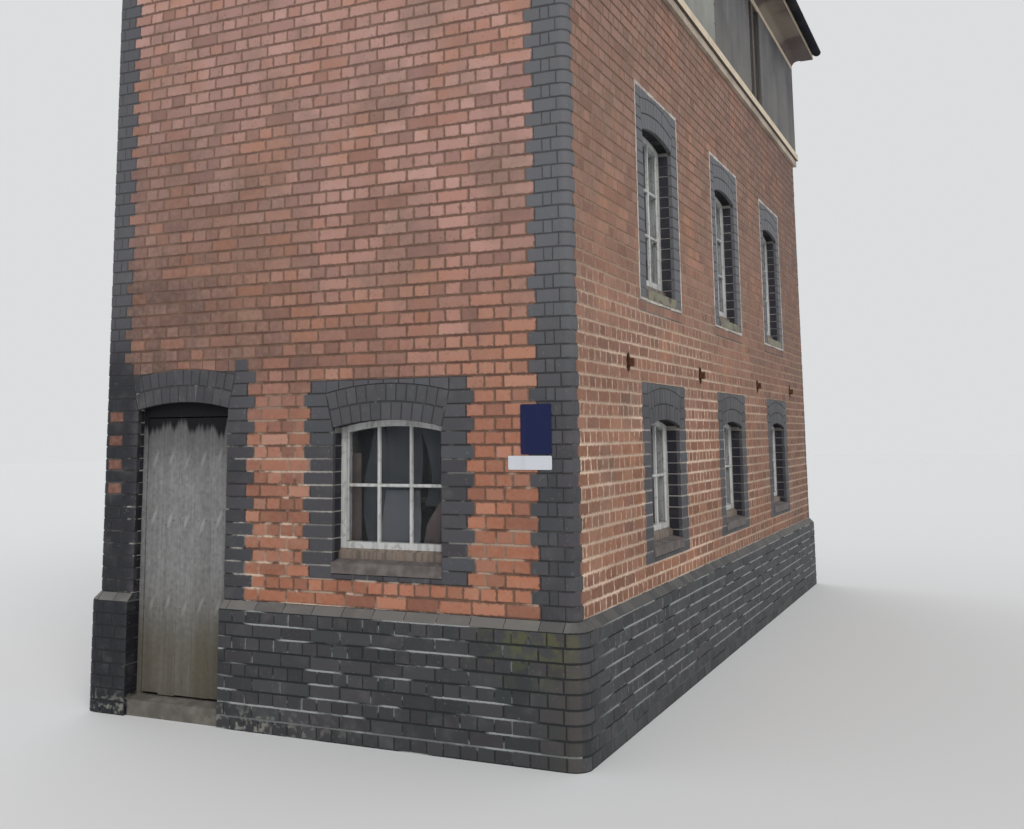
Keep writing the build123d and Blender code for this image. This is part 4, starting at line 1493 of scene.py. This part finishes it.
def door_finish():
    """Silvered boards: soot high up, painted black shadow under the arch, lighter middle, olive foot, nails'
    scars.
    """
    paint = mottled("door_wood", 0.85, 0.15, (streaks, 44.0, 6.0, 0.28, 0.74, 4.0),
                    (0.272, 0.270, 0.267), (0.196, 0.194, 0.193))
    wide = paint.cloudy(streaks, 8.0, 5.0, 0.35, 0.70, 5.0)
    speckle = paint.cloudy(patches, 32.0, 6.0, 0.34, 0.68, 8.0)
    paint.layer((0.262, 0.260, 0.256), paint.cloudy(patches, 5.0, 6.0, 0.35, 0.75, 8.0), 0.5)
    paint.layer((0.135, 0.131, 0.128), wide, 0.30)
    paint.layer((0.70, 0.70, 0.70), speckle, 0.75, "MULTIPLY")
    paint.layer((0.40, 0.40, 0.395), scars(paint), 0.5)
    paint.layer((0.088, 0.075, 0.048), paint.band("Up", 1.05, 0.42) * (wide * 0.20 + 0.66))
    # Soot darkens the boards towards the top; under the arch the boards and the frame's head are painted
    # nearly black as its shadow.
    soot_and_shadow_level = paint.cloudy(streaks, 13.0, 7.0, 0.25, 0.75, 1.0) * 0.17 + paint.place()[2]
    paint.layer((0.075, 0.072, 0.076), soot_and_shadow_level.ramp(1.76, 2.16), 0.66)
    paint.layer((0.008, 0.008, 0.010), soot_and_shadow_level.ramp(2.12, 2.19), 0.97)
    return paint.done(distance=0.0015, strength=0.5, height=paint.mask + speckle)


def dark_wood_finish():
    paint = mottled("dark_wood", 0.82, 0.2, (streaks, 38.0, 6.0, 0.32, 0.70, 12.0),
                    (0.150, 0.135, 0.120), (0.085, 0.075, 0.068))
    paint.layer((0.0468, 0.0413, 0.0374), paint.cloudy(streaks, 9.0, 4.0, 0.35, 0.70, 13.0), 0.4)
    return paint.done(distance=0.0025, strength=0.7, height=paint.mask)


door_wood, dark_wood = door_finish(), dark_wood_finish()
give(door_wood, "door_ledges", "door_frame")
give(dark_wood, "storey_posts", "wall_plates", "upper_floor", "operating_floor")

# %% [markdown]
# The door is made of upright boards that have shrunk apart. The CAD leaf is one slab, so separate
# boards replace it, each a bevelled block with its own small lean and its own uneven foot. Nails with
# small round heads go through the boards at each ledge.

# %% Door boards and nails
board_gap, board_edge, most_worn = 0.001, 0.0018, 0.012
board_dice = np.random.default_rng(31)


def add_nail(bm, place, wide, narrow, depth, axis="X", segments=8):
    """Adds a small round head that lies flat against an upright face."""
    made = bmesh.ops.create_cone(bm, cap_ends=True, segments=segments, radius1=wide, radius2=narrow,
                                 depth=depth)["verts"]
    turn(bm, -math.pi / 2, axis, made)
    bmesh.ops.translate(bm, vec=place, verts=made)


boards = bmesh.new()
for number in range(board_count):
    foot = leaf_low.z + board_dice.uniform(0.0, most_worn)
    centre = ((leaf_low.x + leaf_high.x) / 2, leaf_low.y + board_step * (number + 0.5),
              (leaf_high.z + foot) / 2)
    size = (leaf_high.x - leaf_low.x, board_step - board_gap, leaf_high.z - foot)
    made = block(boards, size, centre, board_edge)
    turn(boards, board_dice.normal(0, 0.0006), "X", made, centre)
door_planks = finish_piece("door_planks", [boards], door_wood, "weathered_wood", "door")
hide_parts("door_boards")
nails = bmesh.new()
for level in ledge_levels:
    for number in range(2 * board_count):
        place = leaf_low.y + board_step * (number + 0.5) / 2
        head = (leaf_low.x - 0.0008, place, level + board_dice.uniform(-0.04, 0.04))
        add_nail(nails, head, 0.004, 0.003, 0.003, "Y")
finish_piece("door_nails", [nails], rusty_iron, "iron", "door")

# %% [markdown]
# The timber storey is painted cream, now stained brown where water runs. The fascia below the groove
# of the sill band is duller, with stain and painted shade, the groove is painted dark as its shade,
# and the soffit of the eaves and most of the cove are painted tan and dark brown, as stain and as
# painted shade, darkest towards the far end.

# %% Cream paint
groove_low, groove_high = brick_top + 0.078, brick_top + 0.088
in_groove = 0.0002
soffit_level, cove_show = 7.186, 0.066
eaves_start = 0.030


def cream_finish():
    """Cream paint, a fascia darkened with stain and painted shade, the groove painted dark as shade, and a
    soffit in tan and dark brown, stain and painted shade.
    """
    paint = Finish("aged_cream", 0.6, 0.3)
    along, across, level = paint.place()
    run = paint.cloudy(streaks, 14.0, 5.0, 0.50, 0.75, 2.0)
    fine = paint.cloudy(patches, 30.0, 6.0, 0.56, 0.66, 7.0)
    paint.colour = paint.mix(run * 0.40, (0.70, 0.58, 0.43), (0.42, 0.33, 0.23))
    paint.layer((0.30, 0.22, 0.15), paint.cloudy(patches, 2.2, 8.0, 0.50, 0.72, 5.0), 0.35)
    lines = paint.cloudy(rows, 7.0, 6.0, 0.36, 0.66, 4.0)
    # The fascia below the groove is darker, with stain and painted shade.
    paint.layer(paint.mix(lines, (0.500, 0.415, 0.325), (0.300, 0.245, 0.195)), level < groove_low)
    # The groove is painted dark as its shade.
    paint.layer((0.110, 0.085, 0.065), level.between(groove_low - in_groove, groove_high + in_groove))
    # The soffit and most of the cove are painted tan and dark brown, as stain and painted shade.
    soffit = level.between(soffit_level - cove_show, soffit_level + 0.003)
    soffit = soffit * (abs(across) - half_width > eaves_start)
    brown = paint.cloudy(patches, 1.3, 7.0, 0.44, 0.60, 9.0) | paint.band("Along", 3.0, 4.4)
    paint.layer(paint.mix(brown, (0.205, 0.165, 0.124), (0.064, 0.036, 0.032)), soffit)
    paint.layer((0.17, 0.14, 0.115), fine, 0.3)
    return paint.done(distance=0.0015, height=run - fine)


give(cream_finish(), "sill_band_sides", "sill_band_ends", "eaves_boxes", "gables", "barge_boards")

# %% [markdown]
# The window strip is covered with weathered grey sheets. Rain has drawn streaks down them, and they
# are darker towards the top. One sheet is paler than the others.

# %% Weathered sheets
sheet_edges = [place - half_length for place in (0.0, 1.779, 4.219, 6.030, 6.65)]


def sheet_finish():
    """Weathered grey sheets, one of them pale, with olive stains low down and dark ones high up."""
    paint = mottled("weathered_sheet", 0.8, 0.25, (streaks, 5.0, 6.0, 0.30, 0.78, 6.0),
                    (0.150, 0.146, 0.146), (0.102, 0.100, 0.104))
    along, across, level = paint.place()
    paint.layer((0.27, 0.27, 0.26), paint.cloudy(streaks, 26.0, 4.0, 0.35, 0.72, 3.0), 0.25)
    paint.layer((0.110, 0.102, 0.106), paint.cloudy(patches, 3.4, 8.0, 0.40, 0.66, 12.0), 0.45)
    paint.layer((0.375, 0.382, 0.340), along.between(*sheet_edges[1:3]) * (across < 0.0), 0.70)
    olive = paint.cloudy(patches, 1.5, 6.0, 0.42, 0.62, 15.0) * paint.band("Up", 6.7, 5.9)
    paint.layer((0.195, 0.188, 0.155), olive, 0.5)
    stain = paint.cloudy(patches, 1.7, 7.0, 0.42, 0.64, 3.0) * (paint.band("Up", 5.9, 7.2) * 0.75 + 0.2)
    paint.layer((0.080, 0.072, 0.076), stain)
    return paint.done(height=paint.mask)


give(sheet_finish(), "track_sheets", "rear_sheets", "end_sheets")

# %% [markdown]
# Upright rows of flat nail heads hold the sheets to the posts. A row runs on each side of a joint
# between two sheets, and at each end.

# %% Nails of the sheets
sheet_low, sheet_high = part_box("track_sheets")
sheet_face = -sheet_low.y - half_width
nail_gap, nail_margin, from_joint = 0.203, 0.03, 0.028


def sheet_nails(side, uprights):
    """Rows of flat-headed nails up the sheets of one side."""
    bm = bmesh.new()
    foot = sheet_low.z + nail_margin
    for along in uprights:
        for step in range(int((sheet_high.z - nail_margin - foot) / nail_gap) + 1):
            add_nail(bm, (along, sheet_face + 0.0015, foot + nail_gap * step), 0.0075, 0.0055, 0.004)
    return to_building(bm, side)


both_sides = (-from_joint, from_joint)
rear_bay = (half_length + sheet_face) / 2
nail_rows = {
    "track": [edge + beside for edge in sheet_edges[1:3] for beside in both_sides]
             + [sheet_edges[0] - 0.005, sheet_edges[3] - 0.03, sheet_edges[4], half_length + 0.005],
    "rear": [rear_bay * number + beside for number in (-1, 0, 1) for beside in both_sides]
            + [half_length, -half_length],
    "door_end": [*both_sides, half_width - 0.02, -half_width + 0.02],
}
nail_rows["far_end"] = nail_rows["door_end"]
nails = [sheet_nails(side, uprights) for side, uprights in nail_rows.items()]
finish_piece("sheet_nails", nails, rusty_iron, "iron")

# %% [markdown]
# The roof is laid with real slates, each a thin slab that rides on the row below. The slates of a
# slope are laid out flat, the rows shifted by half a slate in turn, and tilted to the pitch
# together.

# %% Slates
pitch = math.radians(30)
roof_low, roof_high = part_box("roof_track_side")
roof_edge, roof_half = -roof_low.y, roof_high.x - 0.004
eaves_top = roof_low.z + 0.070 / math.cos(pitch)
slate_width, slate_show, slate_thick = 0.255, 0.205, 0.007
slate_length, slate_joint, narrowest_slate = slate_show + 0.045, 0.004, 0.04
slope_length = roof_edge / math.cos(pitch)
below_ridge, over_eaves = 0.15, 0.012


def slate_slope(face):
    """All the slates of one slope."""
    bm = bmesh.new()
    for number in range(int((slope_length - below_ridge) / slate_show) + 1):
        start = -roof_half - 0.5 * slate_width * (number % 2)
        for column in range(int((roof_high.x - start) / slate_width) + 2):
            low = max(-roof_half, start + slate_width * column)
            high = min(roof_half, start + slate_width * (column + 1))
            if high - low < narrowest_slate:
                continue
            made = block(bm, (high - low - slate_joint, slate_length, slate_thick))
            turn(bm, math.atan(-slate_thick / slate_show) + dice.normal(0, 0.002), "X", made)
            up_slope = slate_show * number + slate_length / 2 - over_eaves + dice.normal(0, 0.0015)
            bmesh.ops.translate(bm, vec=((low + high) / 2, up_slope, slate_thick * 0.95), verts=made)
    turn(bm, pitch, "X")
    bmesh.ops.translate(bm, vec=(0, -roof_edge, eaves_top), verts=bm.verts)
    if face == "rear":
        turn(bm, math.pi, "Z")
    return bm


def slate_finish():
    paint = Finish("old_slate", 0.55, 0.45)
    tone = paint.node("TexNoise", paint.coordinates(), Scale=3.1, Detail=2.0).outputs[0]
    paint.colour = paint.mix(tone, (0.075, 0.083, 0.100), (0.135, 0.135, 0.150))
    paint.layer((0.055, 0.060, 0.058), paint.cloudy(patches, 0.9, 5.0, 0.45, 0.70, 2.0), 0.5)
    paint.layer((0.26, 0.27, 0.20), paint.cloudy(patches, 11.0, 7.0, 0.58, 0.68, 4.0), 0.6)
    return paint.done(scale=35.0, coarse=0.6)


old_slate = slate_finish()
give(old_slate, "roof_track_side", "roof_rear")
for face in long_sides:
    finish_piece(f"{face}_slates", [slate_slope(face)], old_slate, "slate")

# %% [markdown]
# The gutters are black iron. Every metre comes a strap that holds the gutter or a wider socket that
# joins two lengths, in turn. Each is half a ring, made by spinning a small rectangle under the
# gutter. The ridge is clay tiles, and their joints are dark lines in the material.

# %% Gutters and ridge
gutter_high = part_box("gutters")[1]
gutter_reach = 0.057
gutter_centre = gutter_high.y - gutter_reach
strap_thick, strap_width, socket_width = 0.0035, 0.022, 0.060
strap_inside = 0.0008
tile_length, tile_joint = 0.455, 0.02


def gutter_band(along, width):
    """Half a ring round the underside of the gutter on the track side."""
    bm = bmesh.new()
    profile = bmesh.ops.create_grid(bm, x_segments=1, y_segments=1, size=0.5)["verts"]
    bmesh.ops.scale(bm, vec=(width, strap_thick, 1), verts=profile)
    bmesh.ops.translate(bm, vec=(along, -gutter_reach + strap_thick / 2 + strap_inside, 0), verts=profile)
    bmesh.ops.spin(bm, geom=bm.faces[:], cent=(along, 0, 0), axis=(1, 0, 0), angle=math.pi, steps=14,
                   use_duplicate=False)
    bmesh.ops.recalc_face_normals(bm, faces=bm.faces)
    bmesh.ops.translate(bm, vec=(0, -gutter_centre, gutter_high.z), verts=bm.verts)
    return bm


def ridge_finish():
    paint = mottled("ridge_clay", 0.7, 0.35, (patches, 8.0, 7.0, 0.35, 0.70, 3.0),
                    (0.105, 0.100, 0.108), (0.185, 0.170, 0.165))
    line = ((paint.place()[0] + 20.0) / tile_length).math("FRACT") < tile_joint
    paint.layer((0.035, 0.033, 0.033), line)
    return paint.done(distance=0.004, height=paint.mask - line)


gutter_paint = mottled("black_gutter_paint", 0.8, 0.08, (patches, 5.0, 7.0, 0.45, 0.75, 2.0),
                       (0.008, 0.008, 0.014), (0.030, 0.026, 0.030)).done(40.0, 0.3, 0.001)
give(gutter_paint, "gutters")
give(ridge_finish(), "ridge_tiles")
bands = []
for angle in (0.0, math.pi):
    for along in range(-4, 5):
        bands.append(gutter_band(along, strap_width if along % 2 else socket_width))
        turn(bands[-1], angle, "Z")
finish_piece("gutter_bands", bands, gutter_paint, "gutter_paint")

# %% [markdown]
# Two bare notice plates hang on the corner beside the window, one dark blue and one white. They are
# thin enamelled sheets with rounded corners, held off the brick by small screws.

# %% Bare notice plates
plate_thick, plate_out, plate_corner = 0.003, 0.0095, 0.009
screw_inset = 0.014
screw_parts = ((0.0055, 0.002, 0.0118), (0.003, 0.008, 0.005))


def enamel(name, base, dirty):
    paint = Finish(name, 0.35, 0.25)
    paint.colour = base
    paint.layer(dirty, paint.cloudy(streaks, 16.0, 5.0, 0.50, 0.78, 4.0), 0.5)
    return paint.done(14.0, 0.3, 0.0006)


def plate(name, low, high, foot, head, material):
    """A plate on the door end, in its flat layout, with a screw in each corner."""
    bm = bmesh.new()
    block(bm, (high - low, plate_thick, head - foot), ((low + high) / 2, plate_out, (head + foot) / 2))
    short_edges = [edge for edge in bm.edges if abs(edge.verts[0].co.y - edge.verts[1].co.y) > 0.002]
    bevel(bm, short_edges, plate_corner, segments=4)
    for along in (low + screw_inset, high - screw_inset):
        for up in (foot + screw_inset, head - screw_inset):
            for radius, depth, out in screw_parts:
                add_nail(bm, (along, out, up), radius, radius * 0.8, depth, segments=12)
    finish_piece(name, [to_building(bm, "door_end")], material, "iron")


plate("dark_blue_plate", -1.762, -1.553, 1.866, 2.179,
      enamel("dark_blue_enamel", (0.006, 0.010, 0.060), (0.025, 0.028, 0.060)))
plate("white_plate", -1.762, -1.466, 1.770, 1.857,
      enamel("white_enamel", (0.62, 0.64, 0.68), (0.38, 0.38, 0.38)))

# %% [markdown]
# Each iron stub comes out of a ragged socket where the brick was left out. The socket is a dark brown
# disc in front of the wall, painted as the shade in the hole and the rust round it. It is a circle
# whose points are pulled in or out by chance and which is drawn out upwards.

# %% Sockets of the iron stubs
socket_size, socket_out, socket_thick = (0.040, 0.075), 0.0052, 0.002
# A dark brown disc, painted as the shade of the hole and as rust.
socket_shade_and_rust = mottled("socket_shade_and_rust", 0.95, 0.1, (patches, 50.0, 4.0, 0.3, 0.7, 2.0),
                      (0.020, 0.013, 0.010), (0.060, 0.034, 0.022)).done()
sockets = bmesh.new()
for place in stub_places:
    rim = bmesh.ops.create_circle(sockets, cap_ends=True, radius=1.0, segments=14)["verts"]
    for vert in rim:
        vert.co *= dice.uniform(0.80, 1.15)
        vert.co = (place + vert.co.x * socket_size[0], socket_out, stub_level + vert.co.y * socket_size[1])
to_building(sockets, "track")
bmesh.ops.solidify(sockets, geom=everything(sockets), thickness=socket_thick)
bmesh.ops.recalc_face_normals(sockets, faces=sockets.faces)
finish_piece("stub_sockets", [sockets], socket_shade_and_rust, "iron")

# %% Finish
bpy.context.scene.view_settings.view_transform = "Standard"
